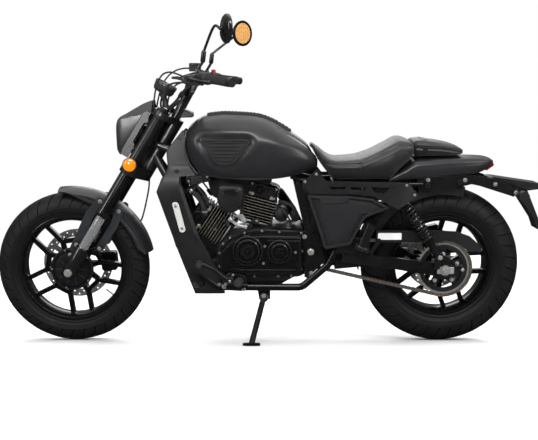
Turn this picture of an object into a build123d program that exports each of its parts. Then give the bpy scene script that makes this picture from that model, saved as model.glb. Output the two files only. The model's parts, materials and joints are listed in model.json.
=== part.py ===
"""A middleweight V-twin cruiser motorcycle, parked on its side stand.

The pieces are modelled upright in the bike's own frame: x runs rearwards from the middle of the
wheelbase, y to the bike's right, z up from the ground line. The last section leans every piece
onto the side stand together and writes it.
"""
import os
from math import atan2, cos, degrees, hypot, radians, sin, tan

from build123d import *

os.makedirs("parts", exist_ok=True)

# --- driving dimensions (mm, degrees) -------------------------------------------------------
wheelbase = 1440.0
front_axle_x = -720.0           # the frame, engine and fork keep this place when the wheelbase changes
lean = 10.7                     # towards the bike's left, onto the side stand
rake = 31.5                     # of the steering axis and the fork legs, from vertical
fork_spacing = 200.0            # between the two legs
fork_offset = 50.0              # of the legs in front of the steering axis

tyre_depth_share = 0.47         # height of the round crown above the widest point, by width
tyre_flats = 72                 # flats round a tyre, a multiple of four
front_tyre_radius = 297.0       # 120/80-16
front_tyre_width = 120.0
front_rim_seat = 203.0
front_rim_width = 86.0
rear_tyre_radius = 309.0        # 150/80-15
rear_tyre_width = 150.0
rear_rim_seat = 190.5
rear_rim_width = 108.0
rim_flange = 4.0                # thickness of the rim's outer lips
rim_lip = 7.0                   # height of the lips above the bead seat
rim_depth = 15.0                # of the barrel below the bead seat
spoke_width = 17.0
spoke_thick = 24.0
spoke_pair_half = 37.0          # half the distance between the two bars of a pair
spoke_knee = 102.0              # radius at which the bars bend towards the hub
hub_radius = 42.0
front_hub_half = 50.0
rear_hub_half = 70.0
front_axle_radius = 8.5
rear_axle_radius = 10.0

seat_gap = 0.3                  # between curved faces that sit on one another
disc_thick = 5.0
disc_holes = 20                 # in each of two rings
disc_hole_radius = 3.2
front_disc_radius = 138.0
front_disc_y = 62.0             # inner face of the front disc, on the right
rear_disc_radius = 120.0
rear_disc_y = 84.0
chain_y = -92.0                 # centre plane of the chain, on the left
chain_width = 18.0
chain_height = 15.0
chain_clearance = 1.5           # between the chain's inner edge and the sprocket
rear_pitch_radius = 106.0
front_pitch_radius = 38.0

stanchion_radius = 18.5
outer_tube_radius = 25.0
fork_casting_radius = 27.0
stanchion_low = 108.0           # distances up the fork leg from the axle
outer_low = 254.0
lower_yoke_low = 445.0
lower_yoke_high = 487.0
upper_yoke_low = 690.0
upper_yoke_high = 714.0
fork_top = 724.0
yoke_clamp_radius = 33.0
stem_radius = 15.0
head_radius = 30.0

fender_gap = 19.0               # between the front tyre's crown and its fender
fender_inner = front_tyre_radius + fender_gap
fender_thick = 3.5
fender_half = 69.0
stay_inner = fender_half + 0.3
stay_outer = stay_inner + 4
bar_radius = 12.5
grip_radius = 17.0
cable_radius = 3.2

tank_tunnel_half = 62.0
cradle_radius = 14.0
rail_radius = 11.0
spine_radius = 16.0
arm_inner = 108.0               # swingarm arms, from the centre plane
arm_outer = 132.0
shock_y = 130.0
spring_radius = 24.0
damper_radius = 16.0
stud_radius = 7.7
pivot_plate_inner = 120.0
pivot_plate_outer = 134.0
panel_inner = 150.0             # side panels
panel_outer = 162.0
belt_inner = 158.0              # slotted covers under the seat
belt_outer = 170.0

front_axle = (front_axle_x, 0.0, front_tyre_radius)
rear_axle = (front_axle_x + wheelbase, 0.0, rear_tyre_radius)
rear_x, rear_z = rear_axle[0], rear_axle[2]
fork_y = fork_spacing / 2
sides = (-1, 1)                 # the bike's left, its right

# --- directions and planes ------------------------------------------------------------------
up_fork = Vector(sin(radians(rake)), 0, cos(radians(rake)))
fork_ahead = Vector(-cos(radians(rake)), 0, sin(radians(rake)))
ground_up = Vector(0, sin(radians(lean)), cos(radians(lean)))


def on_leg(distance, side=0):
    """A point on a fork leg's centre line, or between the legs, that far up from the axle."""
    return Vector(*front_axle) + up_fork * distance + Vector(0, side * fork_y, 0)


def on_stem(distance):
    """The point of the steering axis level with that distance up the fork legs."""
    return on_leg(distance) - fork_ahead * fork_offset


def stem_plane(distance):
    """A plane square to the steering axis; its x points ahead, the legs are at x = fork_offset."""
    return Plane(origin=on_stem(distance), x_dir=fork_ahead, z_dir=up_fork)


# --- shapes that several pieces use ---------------------------------------------------------
def rod(start, end, radius, mode=Mode.ADD):
    """A round bar from one point to another."""
    run = Vector(*end) - Vector(*start)
    with BuildSketch(Plane(origin=start, z_dir=run)) as section:
        Circle(radius)
    extrude(section.sketch, amount=run.length, mode=mode)


def bent_tube(points, radius, bend):
    """A round bar along straight runs joined by tangent arcs of radius bend."""
    with BuildLine() as route:
        FilletPolyline(*points, radius=bend)
    with BuildSketch(Plane(origin=route.line @ 0, z_dir=route.line % 0)) as section:
        Circle(radius)
    sweep(section.sketch, path=route.line)


def plate(outline, near, far, corner=0.0, mode=Mode.ADD):
    """A side outline of (x, z) points, extruded across the bike from y = near to y = far."""
    low, high = sorted((near, far))
    with BuildSketch(Plane.XZ.offset(-high)) as section:
        with BuildLine():
            Polyline(*outline, close=True)
        make_face()
        if corner:
            fillet(section.vertices(), corner)
    extrude(section.sketch, amount=high - low, mode=mode)


def side_drum(centre, radius, near, far, mode=Mode.ADD):
    """A drum across the bike at (x, z), from y = near to y = far."""
    low, high = sorted((near, far))
    with BuildSketch(Plane.XZ.offset(-high)) as section:
        with Locations(centre):
            Circle(radius)
    extrude(section.sketch, amount=high - low, mode=mode)


def strap(points, width, near, far):
    """A flat strip of a given width along (x, z) points, between two distances across."""
    low, high = sorted((near, far))
    with BuildSketch(Plane.XZ.offset(-high)) as section:
        for (x0, z0), (x1, z1) in zip(points, points[1:]):
            with Locations(((x0 + x1) / 2, (z0 + z1) / 2)):
                SlotCenterToCenter(hypot(x1 - x0, z1 - z0), width, rotation=degrees(atan2(z1 - z0, x1 - x0)))
    extrude(section.sketch, amount=high - low)


def ring(centre, profile):
    """A closed profile of (y, radius) points, turned about the line across the bike at centre."""
    with BuildSketch(Plane(origin=centre, x_dir=(0, 1, 0), z_dir=(1, 0, 0))) as section:
        with BuildLine():
            Polyline(*profile, close=True)
        make_face()
    revolve(section.sketch, axis=Axis(centre, (0, 1, 0)))


def body_shell(sections):
    """A body panel through rounded cross-sections, straight from one to the next.

    Each row holds x, then the half width and height of its foot, of its widest point and of its
    shoulder, then the height of its crown.
    """
    faces = []
    for x, foot_half, foot_z, wide_half, wide_z, shoulder_half, shoulder_z, crown_z in sections:
        with BuildSketch(Plane(origin=(x, 0, 0), x_dir=(0, 1, 0), z_dir=(1, 0, 0))) as section:
            with BuildLine():
                Line((-foot_half, foot_z), (foot_half, foot_z))
                ThreePointArc((foot_half, foot_z), (wide_half, wide_z), (shoulder_half, shoulder_z))
                ThreePointArc((shoulder_half, shoulder_z), (0, crown_z), (-shoulder_half, shoulder_z))
                ThreePointArc((-shoulder_half, shoulder_z), (-wide_half, wide_z), (-foot_half, foot_z))
            make_face()
        faces.append(section.sketch)
    loft(faces, ruled=True)


def crown_radius(width):
    """Radius of a tyre's round crown across its tread."""
    return width * (0.25 / tyre_depth_share + tyre_depth_share) / 2


def tyre(axle, radius, width, seat, rim_width):
    """A tyre in flats round its tread and across its crown, with an edge where it stands when it leans."""
    bend = crown_radius(width)
    course = []
    for angle in (0, lean, 28, 46, 66):
        course.append((bend * sin(radians(angle)), radius - bend + bend * cos(radians(angle))))
    course.append((width / 2, radius - width * tyre_depth_share))
    course.append((rim_width / 2 - 2 * rim_flange - 1.5, (seat + seat_gap) / cos(radians(180 / tyre_flats))))
    course += [(-y, level) for y, level in course[:0:-1]]

    def corner(place, flat):
        angle = radians(360 / tyre_flats * flat)
        return Vector(axle[0] + place[1] * cos(angle), place[0], axle[2] + place[1] * sin(angle))

    faces = []
    for near, far in zip(course, course[1:] + course[:1]):
        for flat in range(tyre_flats):
            faces.append(Face(Wire.make_polygon([corner(near, flat), corner(near, flat + 1),
                                                 corner(far, flat + 1), corner(far, flat)])))
    add(Solid(Shell(faces)))


def wheel_casting(axle, seat, rim_width, first_angle, hub_half, bore):
    """A cast wheel: rim barrel, five pairs of bars tied in a ring, hub and bore."""
    half = rim_width / 2
    inside = seat - rim_depth
    ring(axle, [(-half, seat + rim_lip), (-half + rim_flange, seat + rim_lip), (-half + rim_flange, seat),
                (half - rim_flange, seat), (half - rim_flange, seat + rim_lip), (half, seat + rim_lip),
                (half, seat - rim_flange), (half * 0.6, inside), (-half * 0.6, inside),
                (-half, seat - rim_flange)])
    ring(axle, [(-hub_half, 0.0), (-hub_half, hub_radius), (hub_half, hub_radius), (hub_half, 0.0)])
    with BuildSketch(Plane(origin=(axle[0], spoke_thick / 2, axle[2]), x_dir=(1, 0, 0),
                           z_dir=(0, -1, 0))) as web:
        for pair in range(5):
            angle = radians(first_angle + 72 * pair)
            after = angle + radians(72)
            along, across = (cos(angle), sin(angle)), (-sin(angle), cos(angle))

            def knee(side, direction, square):
                return (spoke_knee * direction[0] + side * spoke_pair_half * square[0],
                        spoke_knee * direction[1] + side * spoke_pair_half * square[1])

            ties = [(knee(1, along, across), knee(-1, (cos(after), sin(after)), (-sin(after), cos(after))))]
            for side in sides:
                rim_end = (along[0] * (inside - 2) + side * spoke_pair_half * across[0],
                           along[1] * (inside - 2) + side * spoke_pair_half * across[1])
                hub_end = (along[0] * hub_radius, along[1] * hub_radius)
                ties += [(rim_end, knee(side, along, across)), (knee(side, along, across), hub_end)]
            for (x0, z0), (x1, z1) in ties:
                with Locations(((x0 + x1) / 2, (z0 + z1) / 2)):
                    SlotCenterToCenter(hypot(x1 - x0, z1 - z0), spoke_width,
                                       rotation=degrees(atan2(z1 - z0, x1 - x0)))
    extrude(web.sketch, amount=spoke_thick)
    side_drum((axle[0], axle[2]), bore + seat_gap, -hub_half - 20, hub_half + 20, mode=Mode.SUBTRACT)


def brake_disc(axle, radius, near, hub_end, bore):
    """A disc ring on a five-armed carrier bolted to the hub's end."""
    centre = (axle[0], axle[2])
    ring_width = 30.0
    with BuildSketch(Plane.XZ.offset(-near - disc_thick)) as friction:
        with Locations(centre):
            Circle(radius)
            Circle(radius - ring_width, mode=Mode.SUBTRACT)
            for angle in range(0, 360, 72):
                with Locations(Location((0, 0), angle)):
                    with Locations((radius * 0.55, 0)):
                        Rectangle(radius * 0.6, 22)
            Circle(hub_radius)
            Circle(bore + 4, mode=Mode.SUBTRACT)
            for inward, first in ((10, 0), (20, 180 / disc_holes)):
                with PolarLocations(radius - inward, disc_holes, start_angle=first):
                    Circle(disc_hole_radius, mode=Mode.SUBTRACT)
    extrude(friction.sketch, amount=disc_thick)
    if near - hub_end > disc_thick / 5:
        ring(axle, [(hub_end + seat_gap, bore + 4), (hub_end + seat_gap, hub_radius),
                    (near + 1, hub_radius), (near + 1, bore + 4)])


def caliper(axle, angle, radius, near, far, disc_near):
    """A brake caliper straddling the disc's rim at an angle round the axle."""
    half_arc, depth, slot = 38.0, 62.0, 4.0
    along = Vector(cos(radians(angle)), 0, sin(radians(angle)))
    middle = Vector(*axle) + along * (radius - depth / 2 + 20)
    block = Plane(origin=middle + Vector(0, near, 0), x_dir=along, z_dir=(0, 1, 0))
    with BuildSketch(block) as section:
        RectangleRounded(depth, 2 * half_arc, 12)
    extrude(section.sketch, amount=far - near)
    side_drum((axle[0], axle[2]), radius + slot, disc_near - slot, disc_near + disc_thick + slot,
              mode=Mode.SUBTRACT)


made = {}


def keep(piece, name):
    """Remember a finished piece under its name, to be parked and written at the end."""
    made[name] = piece.part


# --- front wheel ----------------------------------------------------------------------------
with BuildPart() as front_tyre:
    tyre(front_axle, front_tyre_radius, front_tyre_width, front_rim_seat, front_rim_width)
keep(front_tyre, "front_tyre")

hub_cover_radius = 84.0
hub_cover_thick = 8.0
with BuildPart() as front_wheel_casting:
    wheel_casting(front_axle, front_rim_seat, front_rim_width, 62, front_hub_half, front_axle_radius)
    ring(front_axle, [(-front_hub_half - hub_cover_thick, front_axle_radius + 6),
                      (-front_hub_half - hub_cover_thick, hub_cover_radius - 6),
                      (-front_hub_half, hub_cover_radius), (-front_hub_half + 4, hub_cover_radius),
                      (-front_hub_half + 4, front_axle_radius + 6)])
keep(front_wheel_casting, "front_wheel_casting")

with BuildPart() as front_brake_disc:
    brake_disc(front_axle, front_disc_radius, front_disc_y, front_hub_half, front_axle_radius)
keep(front_brake_disc, "front_brake_disc")

# --- fork -----------------------------------------------------------------------------------
axle_end = 118.0
leg_inner = fork_y - fork_casting_radius
lug_points = [(-691.0, 401.0), (-716.0, 362.0), (-603.0, 386.0)]      # where the fender stays bolt on
with BuildPart() as fork_bottoms:
    for side in sides:
        rod(on_leg(-22, side), on_leg(stanchion_low, side), fork_casting_radius)
        side_drum((front_axle[0], front_axle[2]), 24, side * leg_inner, side * (fork_y + 12))
        side_drum((front_axle[0], front_axle[2]), 14,
                  side * (front_hub_half + hub_cover_thick + disc_thick + 6), side * (leg_inner + 1))
        root = (on_leg(stanchion_low - 34).X, on_leg(stanchion_low - 34).Z)
        strap([lug_points[0], root, lug_points[1], root, lug_points[2]], 18, side * 84, side * 93)
        for lug in lug_points:
            side_drum(lug, 8, side * stay_outer, side * 90)
    side_drum((front_axle[0], front_axle[2]), front_axle_radius, -axle_end, axle_end)
keep(fork_bottoms, "fork_bottoms")

with BuildPart() as fork_inner_tubes:
    for side in sides:
        rod(on_leg(stanchion_low, side), on_leg(outer_low, side), stanchion_radius)
keep(fork_inner_tubes, "fork_inner_tubes")

with BuildPart() as fork_outer_tubes:
    for side in sides:
        rod(on_leg(outer_low, side), on_leg(fork_top, side), outer_tube_radius)
        rod(on_leg(outer_low, side), on_leg(outer_low + 22, side), outer_tube_radius + 3)
        rod(on_leg(fork_top - 1, side), on_leg(fork_top + 8, side), outer_tube_radius - 7)
keep(fork_outer_tubes, "fork_outer_tubes")

with BuildPart() as fork_yokes:
    rod(on_stem(lower_yoke_low), on_stem(upper_yoke_high), stem_radius)
    for low, high in ((lower_yoke_low, lower_yoke_high), (upper_yoke_low, upper_yoke_high)):
        with BuildSketch(stem_plane(low)) as yoke:
            with Locations((fork_offset, fork_y), (fork_offset, -fork_y)):
                Circle(yoke_clamp_radius)
            Circle(yoke_clamp_radius - 3)
            make_hull()
            with Locations((fork_offset, fork_y), (fork_offset, -fork_y)):
                Circle(outer_tube_radius + seat_gap, mode=Mode.SUBTRACT)
        extrude(yoke.sketch, amount=high - low)
keep(fork_yokes, "fork_yokes")

# --- front fender and its stays -------------------------------------------------------------
fender_rear_angle = 12.0        # round the axle from straight back
fender_front_angle = 98.0
fender_skirt = fender_inner - 44                # radius of the side skirts' lower edge
fender_shoulder = fender_inner - 20
start = radians(fender_rear_angle)
with BuildPart() as front_fender:
    with BuildSketch(Plane(origin=front_axle, x_dir=(0, 1, 0), z_dir=(sin(start), 0, -cos(start)))) as hoop:
        with BuildLine():
            inner_half = fender_half - fender_thick
            inner_shoulder = fender_shoulder - fender_thick / 2
            outer = fender_inner + fender_thick
            Polyline((inner_half, inner_shoulder), (inner_half, fender_skirt), (fender_half, fender_skirt),
                     (fender_half, fender_shoulder))
            ThreePointArc((fender_half, fender_shoulder), (0, outer), (-fender_half, fender_shoulder))
            Polyline((-fender_half, fender_shoulder), (-fender_half, fender_skirt),
                     (-inner_half, fender_skirt), (-inner_half, inner_shoulder))
            ThreePointArc((-inner_half, inner_shoulder), (0, fender_inner), (inner_half, inner_shoulder))
        make_face()
    revolve(hoop.sketch, axis=Axis(front_axle, (0, -1, 0)),
            revolution_arc=fender_front_angle - fender_rear_angle)
keep(front_fender, "front_fender")

with BuildPart() as fender_stays:
    for side in sides:
        strap([(-598.0, 566.0), (-640.0, 515.0), (-704.0, 382.0)], 34, side * stay_inner, side * stay_outer)
        strap([(-528.0, 528.0), (-545.0, 478.0), lug_points[2]], 30, side * stay_inner, side * stay_outer)
keep(fender_stays, "fender_stays")

# --- headlamp, cowl, indicators, gauge ------------------------------------------------------
cowl_wall = 3.5
# x, foot half width, foot z, half width at the crease, crease z, deck half width, deck z
cowl_table = [
    (-526.0, 78.0, 772.0, 86.0, 828.0, 70.0, 858.0),
    (-512.0, 84.0, 746.0, 94.0, 880.0, 74.0, 886.0),
    (-468.0, 88.0, 782.0, 97.0, 890.0, 66.0, 914.0),
    (-426.0, 90.0, 850.0, 97.0, 898.0, 52.0, 938.0),
    (-392.0, 88.0, 900.0, 92.0, 906.0, 40.0, 950.0),
]


def cowl_faces(inset):
    """The cowl's cross-sections, drawn in by the given wall but open at the foot."""
    faces = []
    for x, foot_half, foot_z, half, crease_z, deck_half, deck_z in cowl_table:
        with BuildSketch(Plane(origin=(x, 0, 0), x_dir=(0, 1, 0), z_dir=(1, 0, 0))) as section:
            with BuildLine():
                Polyline((foot_half - inset, foot_z - inset), (half - inset, crease_z - inset / 2),
                         (deck_half - inset, deck_z - inset), (-deck_half + inset, deck_z - inset),
                         (-half + inset, crease_z - inset / 2), (-foot_half + inset, foot_z - inset),
                         close=True)
            make_face()
        faces.append(section.sketch)
    return faces


lamp_centre = (-505.0, 0.0, 815.0)
lamp_radius = 68.0
with BuildPart() as headlight_cowl:
    loft(cowl_faces(0), ruled=True)
    loft(cowl_faces(cowl_wall), ruled=True, mode=Mode.SUBTRACT)
keep(headlight_cowl, "headlight_cowl")

lamp_mount = on_stem(lower_yoke_high) + fork_ahead * (fork_offset + 12)
with BuildPart() as headlamp:
    with BuildSketch(Plane(origin=lamp_centre, x_dir=(0, 1, 0), z_dir=(1, 0, 0))) as lamp:
        Circle(lamp_radius)
    extrude(lamp.sketch, amount=34)
    with BuildSketch(Plane(origin=(lamp_centre[0] + 34, 0, lamp_centre[2]), x_dir=(0, 1, 0),
                           z_dir=(1, 0, 0))) as bowl:
        Circle(lamp_radius - 4)
    extrude(bowl.sketch, amount=30, taper=30)
    rod(lamp_mount, lamp_mount + Vector(-8, 0, 70), 9)
    add(fork_yokes.part, mode=Mode.SUBTRACT)
keep(headlamp, "headlamp")

with BuildPart() as headlamp_brackets:
    for side in sides:
        along = [on_leg(reach) + fork_ahead * (outer_tube_radius + 20) for reach in (512, 668)]
        strap([(point.X, point.Z) for point in along], 36, side * 97.5, side * 104)
        for reach in (540, 640):
            rod(on_leg(reach, side) + fork_ahead * (outer_tube_radius + seat_gap),
                on_leg(reach, side) + fork_ahead * (outer_tube_radius + 12), 5)
keep(headlamp_brackets, "headlamp_brackets")

indicator_radius = 27.0
with BuildPart() as front_indicators:
    for side in sides:
        side_drum((-470.0, 714.0), indicator_radius, side * 138, side * 160)
        side_drum((-470.0, 706.0), 8, side * (fork_y + yoke_clamp_radius + seat_gap), side * 139)
keep(front_indicators, "front_indicators")

gauge_face = (-341.0, 0.0, 1013.0)
gauge_normal = Vector(0.47, 0, 0.88).normalized()
gauge_radius = 44.0
gauge_depth = 42.0
with BuildPart() as instrument_gauge:
    gauge_back = Vector(*gauge_face) - gauge_normal * gauge_depth
    rod(gauge_back, gauge_face, gauge_radius)
    rod(on_stem(upper_yoke_high) + fork_ahead * 38, gauge_back + gauge_normal * 2, 10)
    add(fork_yokes.part, mode=Mode.SUBTRACT)
keep(instrument_gauge, "instrument_gauge")

# --- handlebar and what it carries ----------------------------------------------------------
bar_low = Vector(-258.0, 96.0, 975.0)
bar_knee = Vector(-232.0, 200.0, 1040.0)
bar_end = Vector(-88.0, 372.0, 1020.0)
bar_bend = 40.0
grip_length = 118.0
housing_length = 44.0
perch_length = 32.0
outward = (bar_end - bar_knee).normalized()
level_ahead = (Vector(-1, 0, 0) + outward * outward.X).normalized()


def on_side(point, side):
    """The same point on the bike's left or right."""
    return Vector(point.X, side * abs(point.Y), point.Z)


def on_grip(inward, side, ahead=0.0):
    """A point of the bar's end run, that far inward from its end, on either side."""
    return on_side(bar_end - outward * inward + level_ahead * ahead, side)


with BuildPart() as handlebar:
    bent_tube([bar_end, bar_knee, bar_low, on_side(bar_low, -1), on_side(bar_knee, -1),
               on_side(bar_end, -1)], bar_radius, bar_bend)
    for side in sides:
        rod(on_grip(0, side), on_grip(-20, side), grip_radius - 1)
        riser_foot = on_stem(upper_yoke_high) + fork_ahead * 6 + Vector(0, side * 45, 0)
        rod(riser_foot, Vector(bar_low.X + 4, side * 45, bar_low.Z + 8), 15)
    add(fork_yokes.part, mode=Mode.SUBTRACT)
keep(handlebar, "handlebar")

with BuildPart() as grips:
    for side in sides:
        rod(on_grip(0.5, side), on_grip(grip_length, side), grip_radius)
        rod(on_grip(grip_length - 5, side), on_grip(grip_length, side), grip_radius + 4)
        rod(on_grip(0, side), on_grip(grip_length + 1, side), bar_radius + seat_gap, mode=Mode.SUBTRACT)
keep(grips, "grips")

with BuildPart() as hand_controls:
    for side in sides:
        perch_at = grip_length + housing_length + perch_length
        rod(on_grip(grip_length + 1, side), on_grip(grip_length + housing_length, side), grip_radius + 5)
        rod(on_grip(grip_length + housing_length - 1, side), on_grip(perch_at, side), grip_radius)
        rod(on_grip(perch_at - 14, side, 12), on_grip(perch_at - 14, side, 40), 11)
        rod(on_grip(perch_at - 14, side, 40), on_grip(24, side, 62), 6)
        rod(on_grip(perch_at - 12, side) + Vector(0, 0, grip_radius - 3),
            on_grip(perch_at - 12, side) + Vector(0, 0, grip_radius + 10), 9)
    with Locations((-250, 204, 1074)):
        Box(46, 44, 34)
    rod(on_grip(perch_at - 14, 1) + Vector(0, 0, 8), Vector(-240, 212, 1066), 9)
    for side in sides:
        rod(on_grip(0, side), on_grip(perch_at + 4, side), bar_radius + seat_gap, mode=Mode.SUBTRACT)
    add(handlebar.part, mode=Mode.SUBTRACT)
keep(hand_controls, "hand_controls")

mirror_radius = 52.0
mirror_depth = 20.0
mirror_foot_z = grip_radius + 10 + seat_gap
# side, points of the stalk above its collar, glass centre, direction the glass faces
mirror_table = [
    (-1, [(-145.0, -250.0, 1211.0), (-121.0, -268.0, 1203.0)], (-104.0, -275.0, 1204.0), (0.96, 0.26, 0.0)),
    (1, [(-103.0, 260.0, 1191.0), (-82.0, 268.0, 1205.0)], (-64.0, 275.0, 1211.0), (0.70, -0.71, 0.0)),
]
with BuildPart() as mirrors:
    for side, stalk, centre, facing in mirror_table:
        foot = on_grip(grip_length + housing_length + perch_length - 12, side) + Vector(0, 0, mirror_foot_z)
        collar = Vector(-187, side * 226, 1090)
        collar_top = Vector(-182, side * 227, 1128)
        face = Vector(*facing).normalized()
        rod(foot, collar, 6)
        rod(collar, collar_top, 9)
        rod(collar_top, stalk[0], 5)
        rod(stalk[0], stalk[1], 5)
        rod(stalk[1], Vector(*centre) - face * (mirror_depth / 2), 6)
        rod(Vector(*centre) - face * (mirror_depth / 2), Vector(*centre) + face * (mirror_depth / 2),
            mirror_radius)
    add(hand_controls.part, mode=Mode.SUBTRACT)
keep(mirrors, "mirrors")

with BuildPart() as front_caliper:
    caliper(front_axle, 4, front_disc_radius, 46, 88, front_disc_y)
    strap([(-600.0, 318.0), (-690.0, 345.0)], 24, 76, 88)
    add(fork_bottoms.part, mode=Mode.SUBTRACT)
keep(front_caliper, "front_caliper")

# Cords that the steering carries all the way: points chosen by hand, end to end.
lower_brake_hose = [(-420.0, 22.0, 640.0), (-423.0, 25.0, 605.0), (-434.0, 38.0, 560.0),
                    (-447.0, 60.0, 515.0), (-462.0, 80.0, 470.0), (-490.0, 92.0, 425.0),
                    (-525.0, 92.0, 385.0), (-548.0, 84.0, 361.0)]
upper_brake_hose = [(-273.2, 196.0, 1070.0), (-294.0, 195.0, 1070.0), (-320.0, 176.0, 1064.0),
                    (-347.0, 138.0, 1046.0), (-366.0, 100.0, 1016.0), (-378.0, 74.0, 980.0),
                    (-385.0, 58.0, 945.0), (-390.0, 50.0, 912.0), (-402.0, 44.0, 884.0),
                    (-421.0, 36.0, 862.0), (-440.7, 30.0, 852.0)]
clutch_cable = [(-239.0, -249.0, 1034.5), (-254.0, -231.0, 1037.0), (-279.0, -203.0, 1047.0),
                (-311.0, -168.0, 1056.0), (-342.0, -132.0, 1048.0), (-366.0, -98.0, 1018.0),
                (-378.0, -74.0, 982.0), (-385.0, -58.0, 947.0), (-390.0, -50.0, 914.0),
                (-402.0, -44.0, 886.0), (-421.0, -36.0, 863.0), (-440.7, -30.0, 852.0)]


def cord(points):
    """A round cord along hand-chosen points, each bend as wide as its two runs allow."""
    runs = [Vector(*b) - Vector(*a) for a, b in zip(points, points[1:])]
    radii = [0.45 * min(a.length, b.length) / tan(radians(a.get_angle(b)) / 2)
             for a, b in zip(runs, runs[1:])]
    print("cord radii", [round(radius) for radius in radii])
    with BuildLine() as route:
        FilletPolyline(*points, radius=radii)
    with BuildSketch(Plane(origin=route.line @ 0, z_dir=route.line % 0)) as section:
        Circle(cable_radius)
    sweep(section.sketch, path=route.line)


with BuildPart() as control_cables:
    cord(lower_brake_hose)
    cord(upper_brake_hose)
    cord(clutch_cable)
keep(control_cables, "control_cables")

# --- frame ----------------------------------------------------------------------------------
with BuildPart() as frame_spine:
    rod(on_stem(lower_yoke_high + 0.4), on_stem(upper_yoke_low - 0.4), head_radius)
    for side in sides:
        bent_tube([(-385.0, side * 22, 782.0), (-200.0, side * 38, 712.0), (130.0, side * 42, 672.0)],
                  spine_radius, 80)
    rod(on_stem(lower_yoke_high - 1), on_stem(upper_yoke_low + 1), stem_radius + seat_gap, mode=Mode.SUBTRACT)
keep(frame_spine, "frame_spine")

stand_pivot = Vector(29.0, -124.0, 203.0)
stand_foot_x = -17.0
stand_foot_y = -221.0
leg_run = Vector(stand_foot_x, stand_foot_y, -stand_foot_y * tan(radians(lean))) - stand_pivot
stand_axis = leg_run.cross(Vector(1, 0, 0)).normalized()
eye_half = 7.0
eye_radius = 15.0
pin_radius = 6.0
cradle_route = [(-388.0, 20.0, 730.0), (-285.0, 86.0, 560.0), (-216.0, 106.0, 290.0), (-150.0, 112.0, 240.0),
                (175.0, 118.0, 240.0), (275.0, 126.0, 330.0), (350.0, 126.0, 480.0), (410.0, 106.0, 625.0)]
cradles = {}
for side, name in ((-1, "frame_left_cradle"), (1, "frame_right_cradle")):
    with BuildPart() as cradle:
        bent_tube([(x, side * y, z) for x, y, z in cradle_route], cradle_radius, 45)
        rod(on_stem(lower_yoke_high - 1), on_stem(upper_yoke_low), head_radius + seat_gap, mode=Mode.SUBTRACT)
        plate([(-147, 259), (-39, 264), (-55, 228), (-115, 232)], side * 119, side * 134, corner=6)
        if side < 0:
            plate([(4, 240), (54, 240), (54, 190), (10, 190)], -107, -94)
            plate([(4, 240), (54, 240), (54, 227), (4, 227)], -126, -94)
            rod(stand_pivot - stand_axis * 16, stand_pivot - stand_axis * (eye_half + seat_gap), 17)
            rod(stand_pivot - stand_axis * 12, stand_pivot + stand_axis * (eye_half + 3), pin_radius)
            rod(stand_pivot + stand_axis * (eye_half + 1), stand_pivot + stand_axis * (eye_half + 6), 9)
    cradles[side] = cradle
    keep(cradle, name)

swing_pivot = (207.0, 383.0)
with BuildPart() as pivot_plates:
    for side in sides:
        plate([(176, 452), (232, 450), (264, 348), (246, 328), (194, 280), (184, 284), (186, 340)],
              side * pivot_plate_inner, side * pivot_plate_outer)
        strap([(158.0, 628.0), (200.0, 452.0)], 26, side * pivot_plate_inner, side * pivot_plate_outer)
        side_drum(swing_pivot, 16, side * 133, side * 142)
keep(pivot_plates, "pivot_plates")

rail_z = 634.0
shock_top = (540.0, 598.0)
shock_eye = (rear_x - 23, rear_z + 52)
with BuildPart() as subframe:
    for side in sides:
        bent_tube([(136.0, side * 45, 660.0), (230.0, side * 105, rail_z + 2), (420.0, side * 106, rail_z),
                   (630.0, side * 100, rail_z)], rail_radius, 60)
        strap([(shock_top[0], rail_z), shock_top], 26, side * (shock_y + 12), side * (shock_y + 18))
        plate([(shock_top[0] - 12, rail_z - 7), (shock_top[0] + 12, rail_z - 7),
               (shock_top[0] + 12, rail_z + 7), (shock_top[0] - 12, rail_z + 7)],
              side * 104, side * (shock_y + 13))
        side_drum(shock_top, stud_radius, side * (shock_y - 12), side * (shock_y + 17))
        side_drum((160.0, 636.0), 9, side * 64, side * (pivot_plate_inner - seat_gap))
    for x in (300.0, 470.0):
        rod((x, -106, rail_z), (x, 106, rail_z), 8)
    for cradle in cradles.values():
        add(cradle.part, mode=Mode.SUBTRACT)
keep(subframe, "subframe")

# --- engine ---------------------------------------------------------------------------------
crank = (-31.0, 388.0)
case_half = 105.0
cover_half = 150.0
sprocket_centre = (89.0, 385.0)
chain_pocket = [(30, 334), (30, 438), (200, 438), (200, 300), (110, 322)]
with BuildPart() as crankcase:
    plate([(-150, 305), (-150, 392), (-106, 436), (-40, 462), (60, 470), (182, 463), (183, 302), (168, 284),
           (100, 262), (-60, 258), (-132, 280)], -case_half, case_half, corner=8)
    plate(chain_pocket, -case_half - 1, chain_y + chain_width / 2 + 5, mode=Mode.SUBTRACT)
    side_drum(sprocket_centre, front_pitch_radius - chain_height / 2 - chain_clearance,
              chain_y - 5, -70)
    plate([(-30, 262), (60, 262), (40, 240), (-10, 240)], -60, 60)
    for side in sides:
        side_drum((184.0, 448.0), 8, side * 90, side * (pivot_plate_inner - seat_gap))
keep(crankcase, "crankcase")

with BuildPart() as engine_covers:
    for side, clutch, generator in ((-1, (-31.0, 388.0, 50.0), (89.0, 385.0, 38.0)),
                                    (1, (62.0, 372.0, 66.0), (-60.0, 380.0, 40.0))):
        plate([(-138, 318), (-138, 380), (-92, 428), (-30, 446), (60, 450), (172, 446), (174, 306),
               (160, 294), (-40, 293), (-120, 306)],
              side * (case_half + seat_gap), side * cover_half, corner=12)
        for x, z, radius in (clutch, generator):
            side_drum((x, z), radius, side * (cover_half - 1), side * (cover_half + 14))
            side_drum((x, z), radius - 12, side * (cover_half + 13), side * (cover_half + 19))
keep(engine_covers, "engine_covers")

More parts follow.
